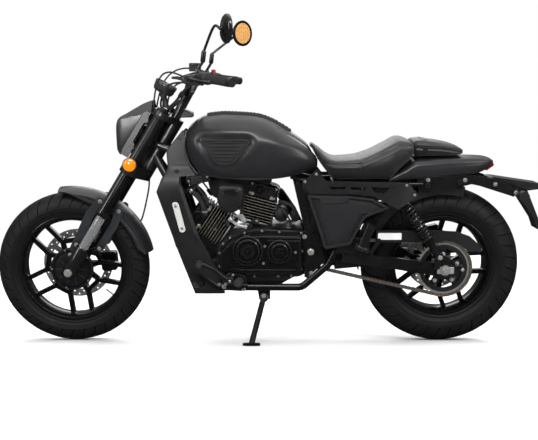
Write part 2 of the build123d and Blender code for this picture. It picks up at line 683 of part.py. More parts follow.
fin_count = 8
fin_pitch = 11.0
fin_thick = 4.5
fin_half = 72.0                 # across the bike
fin_reach = 66.0                # fore and aft of the barrel's axis
barrel_half = 54.0
fin_start = 112.0               # distances along a cylinder's axis from the crankshaft
head_start = fin_start + fin_count * fin_pitch
head_length = 50.0
cap_length = 22.0


def cylinder(angle):
    """A finned barrel with its head, its axis that many degrees up from straight back."""
    along = Vector(cos(radians(angle)), 0, sin(radians(angle)))
    origin = Vector(crank[0], 0, crank[1])

    def slab(low, high, half_long, half_across, corner):
        with BuildSketch(Plane(origin=origin + along * low, x_dir=(0, 1, 0), z_dir=along)) as section:
            RectangleRounded(2 * half_across, 2 * half_long, corner)
        extrude(section.sketch, amount=high - low)

    slab(88, head_start, barrel_half, barrel_half, 20)
    for fin in range(fin_count):
        low = fin_start + fin * fin_pitch
        slab(low, low + fin_thick, fin_reach, fin_half, 16)
    slab(head_start, head_start + head_length, 62, fin_half - 6, 12)
    slab(head_start + head_length, head_start + head_length + cap_length - 18, 50, fin_half - 16, 12)


front_cylinder_angle = 146.0
rear_cylinder_angle = 75.0
for angle, name in ((front_cylinder_angle, "front_cylinder"), (rear_cylinder_angle, "rear_cylinder")):
    with BuildPart() as barrel:
        cylinder(angle)
        add(crankcase.part, mode=Mode.SUBTRACT)
    keep(barrel, name)

with BuildPart() as intake_covers:
    for side in sides:
        plate([(-142, 638), (-148, 575), (-122, 535), (-97, 526), (-70, 535), (-44, 575), (-46, 632)],
              side * 84, side * 148, corner=10)
    side_drum((-98.0, 598.0), 24, -85, 85)
    for side in sides:
        rod((-98, side * 40, 598), (-98, side * 40, 694), 12)
    add(frame_spine.part, mode=Mode.SUBTRACT)
keep(intake_covers, "intake_covers")

with BuildPart() as radiator:
    plate([(-372, 612), (-341, 618), (-277, 400), (-307, 392)], -98, 98)
    for side in sides:
        side_drum((-340.0, 540.0), 8, side * 97, side * (106 - seat_gap))
keep(radiator, "radiator")

shroud_inner = 106.0
shroud_outer = 120.0
with BuildPart() as radiator_shrouds:
    for side in sides:
        plate([(-276, 838), (-342, 762), (-336, 690), (-300, 668), (-222, 670), (-248, 705), (-268, 756),
               (-264, 822)], side * 62, side * 72)
        plate([(-357, 657), (-336, 694), (-292, 694), (-285, 645)], side * 62, side * shroud_outer)
        plate([(-357, 657), (-377, 608), (-294, 369), (-238, 222), (-119, 212), (-147, 308), (-215, 428),
               (-285, 645)], side * shroud_inner, side * shroud_outer)
        side_drum((-225.0, 330.0), 7, side * (shroud_inner + 1), side * 101)
    for route in cradles.values():
        add(route.part, mode=Mode.SUBTRACT)
keep(radiator_shrouds, "radiator_shrouds")

# --- tank, seats and tail -------------------------------------------------------------------
with BuildPart() as fuel_tank:
    # x, foot half, foot z, widest half, widest z, shoulder half, shoulder z, crown z
    body_shell([
        (-256, 62, 772, 92, 806, 62, 836, 846), (-205, 84, 674, 130, 775, 76, 866, 887),
        (-110, 102, 657, 148, 768, 80, 880, 900), (0, 106, 653, 150, 762, 80, 874, 893),
        (110, 100, 662, 140, 748, 70, 828, 846), (194, 78, 680, 112, 726, 50, 770, 784),
        (231, 56, 693, 76, 700, 40, 707, 712)])
    with Locations((-10, 0, 690)):
        Box(600, 2 * tank_tunnel_half, 116, mode=Mode.SUBTRACT)
    # saddles that rest on the frame's two spine tubes
    for x, low in ((-150, 712), (108, 682)):
        with Locations((x, 0, (low + 750) / 2)):
            Box(34, 2 * tank_tunnel_half - 8, 750 - low)
    add(frame_spine.part, mode=Mode.SUBTRACT)
keep(fuel_tank, "fuel_tank")

with BuildPart() as tank_trim:
    for side in sides:
        plate([(-206, 800), (-196, 808), (-30, 808), (-18, 798), (-84, 714), (-146, 710)],
              side * 100, side * 158)
    # the console strip along the tank's crown, in the same columns as the tank
    body_shell([
        (-190, 34, 880, 38, 894, 34, 898, 900), (-110, 36, 890, 40, 904, 36, 909, 911),
        (0, 36, 884, 40, 898, 36, 903, 905), (130, 30, 824, 34, 842, 30, 846, 848)])
    add(fuel_tank.part, mode=Mode.SUBTRACT)
keep(tank_trim, "tank_trim")

with BuildPart() as rider_seat:
    body_shell([
        (211, 34, 772, 46, 778, 36, 782, 786), (255, 74, 697, 96, 722, 72, 750, 760),
        (295, 108, 660, 130, 690, 104, 728, 738), (400, 128, 659, 150, 696, 118, 738, 745),
        (500, 128, 662, 150, 716, 112, 782, 793), (535, 122, 693, 142, 740, 106, 800, 812),
        (588, 104, 739, 118, 762, 92, 786, 795)])
    for x in (320, 450):
        for side in sides:
            with Locations((x, side * 104, 652)):
                Box(30, 16, 24)
    add(subframe.part, mode=Mode.SUBTRACT)
keep(rider_seat, "rider_seat")

with BuildPart() as tail_cowl:
    body_shell([
        (504, 112, 650, 134, 652, 112, 654, 655), (592, 110, 656, 128, 688, 104, 719, 728),
        (700, 98, 661, 112, 700, 94, 730, 736), (800, 84, 667, 96, 704, 80, 732, 738),
        (876, 62, 688, 74, 712, 60, 730, 735), (904, 50, 714, 58, 719, 50, 723, 726)])
keep(tail_cowl, "tail_cowl")

with BuildPart() as pillion_seat:
    body_shell([
        (596, 72, 742, 88, 768, 76, 796, 801), (640, 78, 742, 96, 770, 82, 798, 804),
        (740, 74, 743, 88, 766, 72, 785, 790), (790, 54, 746, 64, 755, 52, 762, 765)])
    with Locations((685, 0, 738)):
        Box(130, 90, 26)
    add(tail_cowl.part, mode=Mode.SUBTRACT)
keep(pillion_seat, "pillion_seat")

with BuildPart() as tail_lamp:
    plate([(884, 678), (914, 700), (911, 714), (896, 724), (868, 698)], -46, 46)
    add(tail_cowl.part, mode=Mode.SUBTRACT)
keep(tail_lamp, "tail_lamp")

bracket_outer = 104.0
tail_x = rear_x + 265           # cross rod that carries the plate carrier, clear behind the tyre
hanger_x = 640.0                # cross rod that carries the tail and the rear fender
hanger_z = 640.0
with BuildPart() as tail_brackets:
    for side in sides:
        plate([(608, 662), (618, 603), (767, 624), (815, 636), (845, 630), (tail_x - 8, 588),
               (tail_x + 22, 616), (899, 656), (851, 666), (800, 670)], side * 88, side * bracket_outer)
    rod((tail_x, -90, 602), (tail_x, 90, 602), 9)
    rod((hanger_x, -90, hanger_z), (hanger_x, 90, hanger_z), 9)
    for neighbour in (subframe, tail_cowl):
        add(neighbour.part, mode=Mode.SUBTRACT)
keep(tail_brackets, "tail_brackets")

rack_boss_radius = 9.0
rack_boss_length = 14.0
rack_bore_radius = 4.2          # clears an M8 bolt
rack_points = [(648.0, 632.0), (768.0, 645.0)]
with BuildPart() as rack_bosses:
    for side in sides:
        for point in rack_points:
            side_drum(point, rack_boss_radius, side * bracket_outer,
                      side * (bracket_outer + rack_boss_length))
            side_drum(point, rack_bore_radius, side * 100, side * 130, mode=Mode.SUBTRACT)
keep(rack_bosses, "rack_bosses")

with BuildPart() as belt_covers:
    for side in sides:
        plate([(227, 699), (178, 654), (199, 609), (352, 607), (438, 598), (532, 550), (606, 602), (566, 650),
               (262, 655)], side * belt_inner, side * belt_outer)
        for slot in ([(273, 634), (334, 634), (330, 625), (280, 625)],
                     [(351, 634), (413, 632), (406, 622), (355, 623)],
                     [(427, 633), (498, 631), (476, 608), (444, 613)]):
            plate(slot, side * (belt_inner - 1), side * (belt_outer + 1), mode=Mode.SUBTRACT)
        for x in (250.0, 560.0):
            side_drum((x, rail_z), 6, side * 104, side * (belt_inner + 1))
    add(subframe.part, mode=Mode.SUBTRACT)
keep(belt_covers, "belt_covers")

with BuildPart() as side_panels:
    for side in sides:
        plate([(190, 603), (350, 602), (436, 592), (507, 553), (411, 517), (356, 412), (258, 395)],
              side * panel_inner, side * panel_outer)
        side_drum((380.0, 552.0), 7, side * 116, side * (panel_inner + 1))
        side_drum((330.0, 440.0), 7, side * 126, side * (panel_inner + 1))
    for route in cradles.values():
        add(route.part, mode=Mode.SUBTRACT)
keep(side_panels, "side_panels")

hugger_gap = 13.0               # between the rear tyre's crown and its fender
hugger_radius = rear_tyre_radius + hugger_gap
hugger_thick = 3.0
hugger_corner = hugger_radius - 10
hugger_skirt = hugger_radius - 38
hugger_half = 84.0
hugger_start = radians(76)      # round the axle from straight back
with BuildPart() as rear_fender:
    with BuildSketch(Plane(origin=rear_axle, x_dir=(0, 1, 0),
                           z_dir=(sin(hugger_start), 0, -cos(hugger_start)))) as hoop:
        with BuildLine():
            half, inside = hugger_half, hugger_half - hugger_thick
            Polyline((-half, hugger_skirt), (-half, hugger_corner), (-half + 6, hugger_radius),
                     (half - 6, hugger_radius), (half, hugger_corner), (half, hugger_skirt),
                     (inside, hugger_skirt), (inside, hugger_corner - 2),
                     (half - 8, hugger_radius - hugger_thick), (-half + 8, hugger_radius - hugger_thick),
                     (-inside, hugger_corner - 2), (-inside, hugger_skirt), close=True)
        make_face()
    revolve(hoop.sketch, axis=Axis(rear_axle, (0, -1, 0)), revolution_arc=76)
    hugger_way = Vector(hanger_x + 6 - rear_x, 0, hanger_z - 20 - rear_z).normalized()
    for side in sides:
        strut_foot = Vector(rear_x, side * 60, rear_z) + hugger_way * (hugger_radius - hugger_thick + 0.7)
        rod((hanger_x, side * 60, hanger_z), strut_foot, 6)
    add(tail_brackets.part, mode=Mode.SUBTRACT)
keep(rear_fender, "rear_fender")

with BuildPart() as plate_carrier:
    plate([(897, 655), (912, 658), (tail_x + 108, 631), (tail_x + 109, 611), (tail_x + 60, 605),
           (tail_x + 15, 622)], -52, 52)
    plate([(tail_x - 5, 628), (tail_x + 55, 620), (tail_x + 111, 490), (tail_x + 119, 452),
           (tail_x + 107, 452), (tail_x + 93, 490), (tail_x + 31, 582), (tail_x - 5, 586)], -40, 40)
    for side in sides:
        rod((tail_x + 19, side * 36, 594), (tail_x + 19, side * 120, 594), 8)
        side_drum((tail_x + 19, 594.0), 20, side * 118, side * 152)
    add(tail_brackets.part, mode=Mode.SUBTRACT)
keep(plate_carrier, "plate_carrier")

# --- swingarm, shocks, rear brake -----------------------------------------------------------
with BuildPart() as swingarm:
    side_drum(swing_pivot, 18, -pivot_plate_inner + seat_gap, pivot_plate_inner - seat_gap)
    for side in sides:
        plate([(189, 392), (207, 401), (350, 378), (350, 338), (207, 365), (189, 374)], side * 84,
              side * (arm_inner + 2))
        plate([(326, 342), (376, 334), (rear_x - 183, rear_z + 3), (rear_x - 22, rear_z - 25),
               (rear_x + 52, rear_z - 25), (rear_x + 64, rear_z + 13), (rear_x - 22, rear_z + 27),
               (rear_x - 144, rear_z + 41), (376, 374), (328, 382)], side * arm_inner, side * arm_outer)
        plate([(rear_x - 46, rear_z + 13), (rear_x - 23, rear_z + 13), (rear_x - 14, rear_z + 69),
               (rear_x - 32, rear_z + 69)], side * (shock_y + 12), side * (shock_y + 18))
        plate([(rear_x - 46, rear_z + 7), (rear_x - 23, rear_z + 7), (rear_x - 23, rear_z + 19),
               (rear_x - 46, rear_z + 19)], side * (arm_outer - 2), side * (shock_y + 18))
        side_drum(shock_eye, stud_radius, side * (shock_y - 12), side * (shock_y + 17))
        side_drum((rear_axle[0], rear_axle[2]), rear_axle_radius + seat_gap, side * 100, side * 140,
                  mode=Mode.SUBTRACT)
    plate([(290, 356), (330, 350), (330, 376), (290, 382)], -100, 100)
keep(swingarm, "swingarm")

with BuildPart() as rear_shocks:
    for side in sides:
        top = Vector(shock_top[0], side * shock_y, shock_top[1])
        eye = Vector(shock_eye[0], side * shock_y, shock_eye[1])
        run = (eye - top).normalized()
        rod(top, eye, damper_radius - 6)
        rod(top + run * 24, eye - run * 24, damper_radius)
        rod(top + run * 16, top + run * 24, spring_radius)
        spring_end = (eye - top).length - 94
        rod(top + run * spring_end, top + run * (spring_end + 10), spring_radius)
        for turn in range(int((spring_end - 26) / 15) + 1):
            rod(top + run * (26 + turn * 15), top + run * (33 + turn * 15), spring_radius)
        for point in (shock_top, shock_eye):
            side_drum(point, damper_radius, side * (shock_y - 11), side * (shock_y + 11))
            side_drum(point, stud_radius + seat_gap, side * (shock_y - 30), side * (shock_y + 30),
                      mode=Mode.SUBTRACT)
keep(rear_shocks, "rear_shocks")

rear_axle_end = 150.0
with BuildPart() as rear_axle_bar:
    side_drum((rear_axle[0], rear_axle[2]), rear_axle_radius, -rear_axle_end, rear_axle_end)
    for side in sides:
        side_drum((rear_axle[0], rear_axle[2]), 20, side * (arm_outer + seat_gap), side * (rear_axle_end - 8))
        side_drum((rear_axle[0], rear_axle[2]), 16,
                  side * (rear_hub_half + 30), side * (arm_inner - seat_gap))
keep(rear_axle_bar, "rear_axle")

with BuildPart() as rear_caliper:
    caliper(rear_axle, 102, rear_disc_radius, 70, 104, rear_disc_y)
    rod((rear_x - 26, 101.0, rear_z + 115), (rear_x - 26, 101.0, rear_z + 13), 9)
    for neighbour in (swingarm, rear_shocks):
        add(neighbour.part, mode=Mode.SUBTRACT)
keep(rear_caliper, "rear_caliper")

# --- rear wheel and chain -------------------------------------------------------------------
with BuildPart() as rear_tyre:
    tyre(rear_axle, rear_tyre_radius, rear_tyre_width, rear_rim_seat, rear_rim_width)
keep(rear_tyre, "rear_tyre")

with BuildPart() as rear_wheel_casting:
    wheel_casting(rear_axle, rear_rim_seat, rear_rim_width, 290, rear_hub_half, rear_axle_radius)
keep(rear_wheel_casting, "rear_wheel_casting")

with BuildPart() as rear_brake_disc:
    brake_disc(rear_axle, rear_disc_radius, rear_disc_y, rear_hub_half, rear_axle_radius)
keep(rear_brake_disc, "rear_brake_disc")

sprocket_thick = 7.0
with BuildPart() as rear_sprocket:
    with BuildSketch(Plane.XZ.offset(-chain_y - sprocket_thick / 2)) as cog:
        with Locations((rear_axle[0], rear_axle[2])):
            Circle(rear_pitch_radius - chain_height / 2 - chain_clearance)
            with PolarLocations(68, 5):
                Circle(17, mode=Mode.SUBTRACT)
            Circle(rear_axle_radius + 4, mode=Mode.SUBTRACT)
    extrude(cog.sketch, amount=sprocket_thick)
    ring(rear_axle, [(-rear_hub_half - seat_gap, rear_axle_radius + 4), (-rear_hub_half - seat_gap, 46),
                     (chain_y + 1, 46), (chain_y + 1, rear_axle_radius + 4)])
keep(rear_sprocket, "rear_sprocket")

with BuildPart() as chain:
    with BuildSketch(Plane.XZ.offset(-chain_y - chain_width / 2)) as loop:
        for grow, mode in ((chain_height / 2, Mode.ADD), (-chain_height / 2, Mode.SUBTRACT)):
            with BuildSketch(mode=mode):
                with Locations(sprocket_centre):
                    Circle(front_pitch_radius + grow)
                with Locations((rear_axle[0], rear_axle[2])):
                    Circle(rear_pitch_radius + grow)
                make_hull()
    extrude(loop.sketch, amount=chain_width)
keep(chain, "chain")

with BuildPart() as chain_guard:
    guard_top = rear_z + 149
    plate([(459, guard_top), (456, guard_top - 45), (rear_x - 20, guard_top - 45),
           (rear_x - 2, guard_top - 38), (rear_x + 32, guard_top - 42), (rear_x + 70, guard_top - 62),
           (rear_x + 92, guard_top - 82), (rear_x + 144, guard_top - 82), (rear_x + 128, guard_top - 50),
           (rear_x + 96, guard_top - 22), (rear_x + 56, guard_top - 7), (rear_x - 65, guard_top)], -103, -106)
    plate([(459, guard_top - 3), (rear_x - 65, guard_top - 3), (rear_x + 56, guard_top - 10),
           (rear_x + 56, guard_top - 7), (rear_x - 65, guard_top), (459, guard_top)], -84, -103.5)
    strap([(470, 420), (440, 374)], 16, -103, -107.7)
    strap([(440, 374), (440, 355)], 16, -103, -107.7)
keep(chain_guard, "chain_guard")

# --- exhaust --------------------------------------------------------------------------------
muffler_radius = 46.0
with BuildPart() as exhaust:
    bent_tube([(-240.0, 30.0, 476.0), (-259.0, 30.0, 440.0), (-252.0, 30.0, 380.0), (-215.0, 45.0, 280.0),
               (-180.0, 75.0, 210.0), (-60.0, 104.0, 194.0), (90.0, 152.0, 202.0), (220.0, 205.0, 262.0),
               (300.0, 205.0, 285.0)], 17, 30)
    bent_tube([(70.0, 68.0, 590.0), (92.0, 120.0, 576.0), (140.0, 176.0, 500.0), (215.0, 205.0, 350.0),
               (270.0, 205.0, 290.0)], 19, 30)
    rod((285.0, 205.0, 282.0), (330.0, 205.0, 286.0), 30)
    rod((320.0, 205.0, 285.0), (800.0, 205.0, 330.0), muffler_radius)
    rod((798.0, 205.0, 330.0), (830.0, 205.0, 333.0), 24)
    plate([(342, 325), (372, 325), (364, 402), (346, 402)], 196, 202)
    rod((355.0, 142.3, 394.0), (355.0, 200.0, 394.0), 6)
    for name in ("front_cylinder", "rear_cylinder"):
        add(made[name], mode=Mode.SUBTRACT)
keep(exhaust, "exhaust")

# --- rider's and passenger's rests ----------------------------------------------------------
with BuildPart() as rider_footrests:
    for side in sides:
        plate([(-112, 240), (-44, 240), (-44, 284), (-112, 284)], side * 134.3, side * 142, corner=6)
        rod((-62, side * 140, 268), (-66, side * 245, 286), 13)
    rod((-98, -141, 276), (-98, -180, 278), 7)
    bent_tube([(-98, -174, 278), (-148, -176, 316), (-212, -176, 345)], 5.5, 20)
    rod((-212, -172, 345), (-212, -212, 345), 9)
    rod((-98, 141, 276), (-98, 180, 278), 7)
    bent_tube([(-98, 174, 278), (-148, 177, 312), (-206, 178, 332)], 6, 20)
    with Locations((-214, 180, 334)):
        Box(36, 44, 8)
keep(rider_footrests, "rider_footrests")

peg_hinge = Vector(398.0, 156.0, 398.0)
peg_direction = Vector(0.36, 0, 0.93).normalized()
peg_length = 100.0
peg_pin = 5.0
with BuildPart() as peg_brackets:
    for side in sides:
        pin_axis = Vector(peg_direction.Z, 0, -peg_direction.X)
        hinge = on_side(peg_hinge, side)
        rod(hinge - pin_axis * 26, hinge + pin_axis * 26, peg_pin)
        for end in (-1, 1):
            with BuildSketch(Plane(origin=hinge + pin_axis * (end * 22 - 4), x_dir=(0, 1, 0),
                                   z_dir=pin_axis)) as ear:
                with Locations((-side * 4, 0)):
                    Rectangle(24, 20)
            extrude(ear.sketch, amount=8)
        plate([(300, 376), (314, 414), (352, 424), (372, 440), (432, 416), (428, 376), (372, 374)],
              side * 134, side * 142)
    for route in cradles.values():
        add(route.part, mode=Mode.SUBTRACT)
keep(peg_brackets, "passenger_peg_brackets")

for side, name in ((-1, "left_passenger_peg"), (1, "right_passenger_peg")):
    pin_axis = Vector(peg_direction.Z, 0, -peg_direction.X)
    hinge = on_side(peg_hinge, side)
    with BuildPart() as peg:
        rod(hinge - pin_axis * 17, hinge + pin_axis * 17, 11)
        with BuildSketch(Plane(origin=hinge, x_dir=pin_axis, z_dir=peg_direction)) as section:
            RectangleRounded(32, 18, 5)
        extrude(section.sketch, amount=peg_length)
        rod(hinge - pin_axis * 30, hinge + pin_axis * 30, peg_pin + seat_gap, mode=Mode.SUBTRACT)
    keep(peg, name)

# --- side stand -----------------------------------------------------------------------------
tyre_sink = crown_radius(front_tyre_width) * (1 - cos(radians(lean)))   # below the upright ground line
stand_foot = Vector(stand_foot_x, stand_foot_y,
                    (-stand_foot_y * sin(radians(lean)) - tyre_sink) / cos(radians(lean)))
pad_thick = 8.0
with BuildPart() as side_stand:
    rod(stand_pivot - stand_axis * eye_half, stand_pivot + stand_axis * eye_half, eye_radius)
    leg_way = (stand_foot - stand_pivot).normalized()
    tongue_plane = Plane(origin=stand_pivot - stand_axis * eye_half, x_dir=leg_way, z_dir=stand_axis)
    with BuildSketch(tongue_plane) as tongue:
        with Locations((18, 0)):
            Rectangle(36, 20)
    extrude(tongue.sketch, amount=2 * eye_half)
    rod(stand_pivot + leg_way * 24, stand_foot + ground_up * pad_thick / 2, 11)
    with BuildSketch(Plane(origin=stand_foot, x_dir=(1, 0, 0), z_dir=ground_up)) as pad:
        SlotOverall(66, 40)
    extrude(pad.sketch, amount=pad_thick)
    rod(stand_pivot - stand_axis * 20, stand_pivot + stand_axis * 20, pin_radius + seat_gap,
        mode=Mode.SUBTRACT)
keep(side_stand, "side_stand")

# --- lean everything onto the stand, and write it -------------------------------------------
leaned = Location((0, 0, 0), (lean, 0, 0))
corners = [(leaned * piece).bounding_box() for piece in made.values()]
shift = Vector(-(min(box.min.X for box in corners) + max(box.max.X for box in corners)) / 2,
               -(min(box.min.Y for box in corners) + max(box.max.Y for box in corners)) / 2,
               -min(box.min.Z for box in corners))
parked = Location(shift, (lean, 0, 0))
for name, piece in made.items():
    placed = parked * piece
    placed.label = name
    export_step(placed, f"parts/{name}.step")
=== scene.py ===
"""Looks of a middleweight V-twin cruiser motorcycle that leans on its side stand."""
import json
from math import acos, atan2, cos, exp, hypot, pi, radians, sin

import bmesh
import bpy
from bpy.props import FloatProperty, IntProperty, PointerProperty
from bpy.types import NodeSocket, Operator, Panel, PropertyGroup
from mathutils import Matrix, Vector, noise


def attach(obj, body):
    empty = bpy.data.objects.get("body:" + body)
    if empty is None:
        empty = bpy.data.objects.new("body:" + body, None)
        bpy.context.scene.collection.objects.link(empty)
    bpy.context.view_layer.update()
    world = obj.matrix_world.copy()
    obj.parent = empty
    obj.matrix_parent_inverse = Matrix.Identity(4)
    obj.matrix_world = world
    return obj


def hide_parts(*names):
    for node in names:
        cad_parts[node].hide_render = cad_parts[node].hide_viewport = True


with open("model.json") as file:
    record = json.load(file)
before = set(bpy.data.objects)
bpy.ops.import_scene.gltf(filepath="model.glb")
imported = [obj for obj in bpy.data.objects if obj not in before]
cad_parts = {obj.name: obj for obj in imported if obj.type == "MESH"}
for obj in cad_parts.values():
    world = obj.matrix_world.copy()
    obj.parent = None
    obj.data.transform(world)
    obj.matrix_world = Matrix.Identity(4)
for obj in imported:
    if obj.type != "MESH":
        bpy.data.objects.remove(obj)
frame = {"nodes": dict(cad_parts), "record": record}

bl_info = {
    "name": "Cruiser motorcycle",
    "version": (1, 0, 0),
    "blender": (4, 5, 0),
    "location": "View3D > Sidebar > Motorcycle",
    "description": "Dresses the packed frame of a cruiser motorcycle with its visible pieces and finishes",
    "category": "Add Mesh",
}

# --- the motorcycle's own upright frame, in mm, and where it is parked ------------------------
front_spin = next(joint for joint in frame["record"]["behaviour"]["joints"]
                  if joint["name"] == "front_wheel_spin")
front_axle = Vector((-720, 0, 297))
rear_axle = Vector((720, 0, 309))
lean = Matrix.Rotation(atan2(front_spin["axis"][2], front_spin["axis"][1]), 4, "X")
parked = Matrix.Translation(Vector(front_spin["pos_m"]) - lean @ (front_axle / 1000)) @ lean
millimetres = parked @ Matrix.Scale(0.001, 4)
rake = radians(31.5)
up_fork = Vector((sin(rake), 0, cos(rake)))
fork_ahead = Vector((-cos(rake), 0, sin(rake)))
fork_offset = 50
across = Vector((0, 1, 0))
up = Vector((0, 0, 1))
sides = (-1, 1)


def on_leg(distance, y=0):
    """A point that far up a fork leg's line from the axle."""
    return front_axle + up_fork * distance + across * y


def on_stem(distance):
    """The point of the steering axis level with that distance up the legs."""
    return on_leg(distance) - fork_ahead * fork_offset


def linear(code):
    """A hex sRGB colour as linear RGBA."""
    values = [int(code[i:i + 2], 16) / 255 for i in (1, 3, 5)]
    return [v / 12.92 if v <= 0.04045 else ((v + 0.055) / 1.055) ** 2.4 for v in values] + [1]


def fill(node, sockets):
    """Gives a node's sockets, by name or number, a value or the output of another node."""
    for socket, value in sockets.items():
        if isinstance(value, NodeSocket):
            node.id_data.links.new(value, node.inputs[socket])
        else:
            node.inputs[socket].default_value = value


def add_node(tree, kind, sockets=None, **settings):
    """Adds a node with its settings and fills its sockets."""
    made = tree.nodes.new(kind)
    for name, value in settings.items():
        setattr(made, name, value)
    fill(made, sockets or {})
    return made


# Finish: colour, second colour of its mottling, metallic, roughness, how much that varies, what the
# surface's relief is, the relief's size and depth in mm, share of a lighter grey on sharp convex edges, coat
finishes = {
    # acrylic body paint over steel, sprayed and left matt: a soft broad sheen, no mirror reflections
    "matt_body_paint": ("#1D1D1F", "#222224", 0, 0.33, 0.04, "noise", 1.2, 0.004, 0.05, 0),
    # powder-coated steel: satin black with a faint orange peel
    "powder_coated_steel": ("#0B0B0C", "#101011", 0, 0.30, 0.05, "noise", 2, 0.015, 0.06, 0),
    # moulded black ABS: dull, with the fine spark grain of its mould
    "moulded_abs": ("#131314", "#18181A", 0, 0.46, 0.06, "voronoi", 0.8, 0.015, 0.05, 0),
    # sand-cast aluminium, painted black: granular skin that breaks up the light
    "painted_casting": ("#0B0B0C", "#111112", 0, 0.36, 0.08, "noise", 1.6, 0.03, 0.08, 0),
    # cast aluminium wheel in satin black lacquer
    "lacquered_wheel": ("#08080A", "#0D0D0E", 0, 0.24, 0.04, "noise", 3, 0.01, 0.05, 0.1),
    # anodised grey aluminium: even, slightly metallic
    "anodised_grey": ("#6E7175", "#7C7F83", 0.9, 0.38, 0.06, "noise", 0.9, 0.006, 0.08, 0),
    # machined aluminium: bright with fine tool lines
    "machined_aluminium": ("#B9BABC", "#C8C9CA", 0.6, 0.30, 0.08, "wave", 0.7, 0.01, 0, 0),
    # zinc-plated steel of bolts and rollers: bright grey, a little cloudy
    "zinc_plated_steel": ("#B5B2AB", "#96948E", 0.6, 0.33, 0.12, "noise", 1.5, 0.01, 0, 0),
    # hard-chromed tube: mirror bright
    "hard_chrome": ("#E4E4E4", "#EDEDED", 0.86, 0.12, 0.03, "noise", 3, 0.001, 0, 0),
    # ground stainless steel of the brake discs: rings left by grinding
    "ground_stainless": ("#A9A7A2", "#BDBBB6", 0.5, 0.32, 0.10, "noise", 0.6, 0.01, 0, 0),
    # vulcanised tyre rubber: near black, dusty dull
    "tyre_rubber": ("#121213", "#181819", 0, 0.55, 0.10, "noise", 1, 0.04, 0.04, 0),
    # soft moulded rubber of grips, pads and hoses
    "soft_rubber": ("#0F0F10", "#151516", 0, 0.55, 0.08, "voronoi", 1, 0.03, 0.03, 0),
    # black engine enamel: glossy enough to catch long highlights
    "engine_paint": ("#070708", "#0B0B0C", 0, 0.22, 0.05, "noise", 2.4, 0.015, 0.08, 0.1),
    # fin edges milled bright after painting
    "bright_fin_edge": ("#A9A498", "#8C877C", 0.5, 0.30, 0.08, "wave", 0.6, 0.01, 0, 0),
    # glossy black plastic of the mirror shells
    "gloss_black_plastic": ("#0C0C0D", "#111112", 0, 0.16, 0.03, "noise", 4, 0.003, 0.08, 0.2),
    # glossy black paint of the springs and the fork's outer tubes
    "spring_paint": ("#08080A", "#0D0D0E", 0, 0.22, 0.04, "noise", 3, 0.01, 0.04, 0.1),
    # dark grey satin paint of the fender stays and gauge rim
    "satin_grey_paint": ("#24272A", "#2A2D30", 0, 0.32, 0.04, "noise", 1.4, 0.006, 0.06, 0),
    # black heat-resistant paint on the exhaust: dead matt and slightly chalky
    "heat_paint": ("#101010", "#171615", 0, 0.50, 0.10, "noise", 1.1, 0.03, 0.06, 0),
    # aluminium radiator core, blackened: rows of fine fins
    "radiator_core": ("#1B1B1C", "#2A2A2B", 0.5, 0.50, 0.10, "wave", 2, 0.3, 0.10, 0),
    # waxed thread of the seams: paler than the cover
    "waxed_thread": ("#4A4A4C", "#565658", 0, 0.60, 0.05, "noise", 0.6, 0.05, 0, 0),
    # dull white vinyl of the blank plate on the chain guard
    "blank_vinyl": ("#C9CACB", "#D6D7D8", 0, 0.45, 0.05, "noise", 2, 0.005, 0, 0),
    # brushed-on black enamel of the stand: flat and dark
    "dull_enamel": ("#08080A", "#0D0D0E", 0, 0.48, 0.06, "noise", 1.6, 0.02, 0, 0),
    # chain steel, oiled: brownish dark with bright rubbed edges
    "oiled_chain_steel": ("#7E776B", "#4A453E", 0.6, 0.34, 0.10, "noise", 1.2, 0.01, 0, 0),
    # moulded clear reflector over a pale backing, prisms inside
    "pale_reflector": ("#B7B8B4", "#CFCFCA", 0.2, 0.22, 0.05, "wave", 1.6, 0.05, 0, 0.2),
    # red plastic of the switches
    "red_plastic": ("#B3221C", "#C02A22", 0, 0.35, 0.05, "noise", 1, 0.005, 0, 0.3),
}
# open-pored skins throw back less light than their index of refraction says
dull_skins = {"tyre_rubber": 0.20, "soft_rubber": 0.30, "dull_enamel": 0.16, "heat_paint": 0.35}
# relief: its texture node, that node's output, its settings and how many repeats its scale counts as one
reliefs = {
    "wave": ("ShaderNodeTexWave", "Fac", {"Distortion": 0.4}, 6.3),
    "voronoi": ("ShaderNodeTexVoronoi", "Distance", {}, 1),
    "noise": ("ShaderNodeTexNoise", "Fac", {"Detail": 2}, 1),
}
# Clear or tinted: colour, transmission, roughness, metallic
clear_finishes = {
    # polished polycarbonate lamp lens: see-through, slightly cool
    "clear_lens": ("#DDE2E6", 0.9, 0.04, 0),
    # amber acrylic of the indicators, ribbed inside
    "amber_acrylic": ("#F08600", 0.3, 0.12, 0),
    # red acrylic of the tail lamp
    "red_acrylic": ("#8E0B0B", 0.3, 0.12, 0),
    # silvered mirror glass with a warm tint
    "mirror_glass": ("#F2B46C", 0, 0.05, 0.25),
    # tinted acrylic over the instrument
    "gauge_lens": ("#15181B", 0.3, 0.06, 0),
}


def new_material(name):
    """A new material with its node tree, its shader and the coordinates of its object."""
    material = bpy.data.materials.new(name)
    material.use_nodes = True
    tree = material.node_tree
    place = add_node(tree, "ShaderNodeTexCoord").outputs["Object"]
    return material, tree, tree.nodes["Principled BSDF"], place


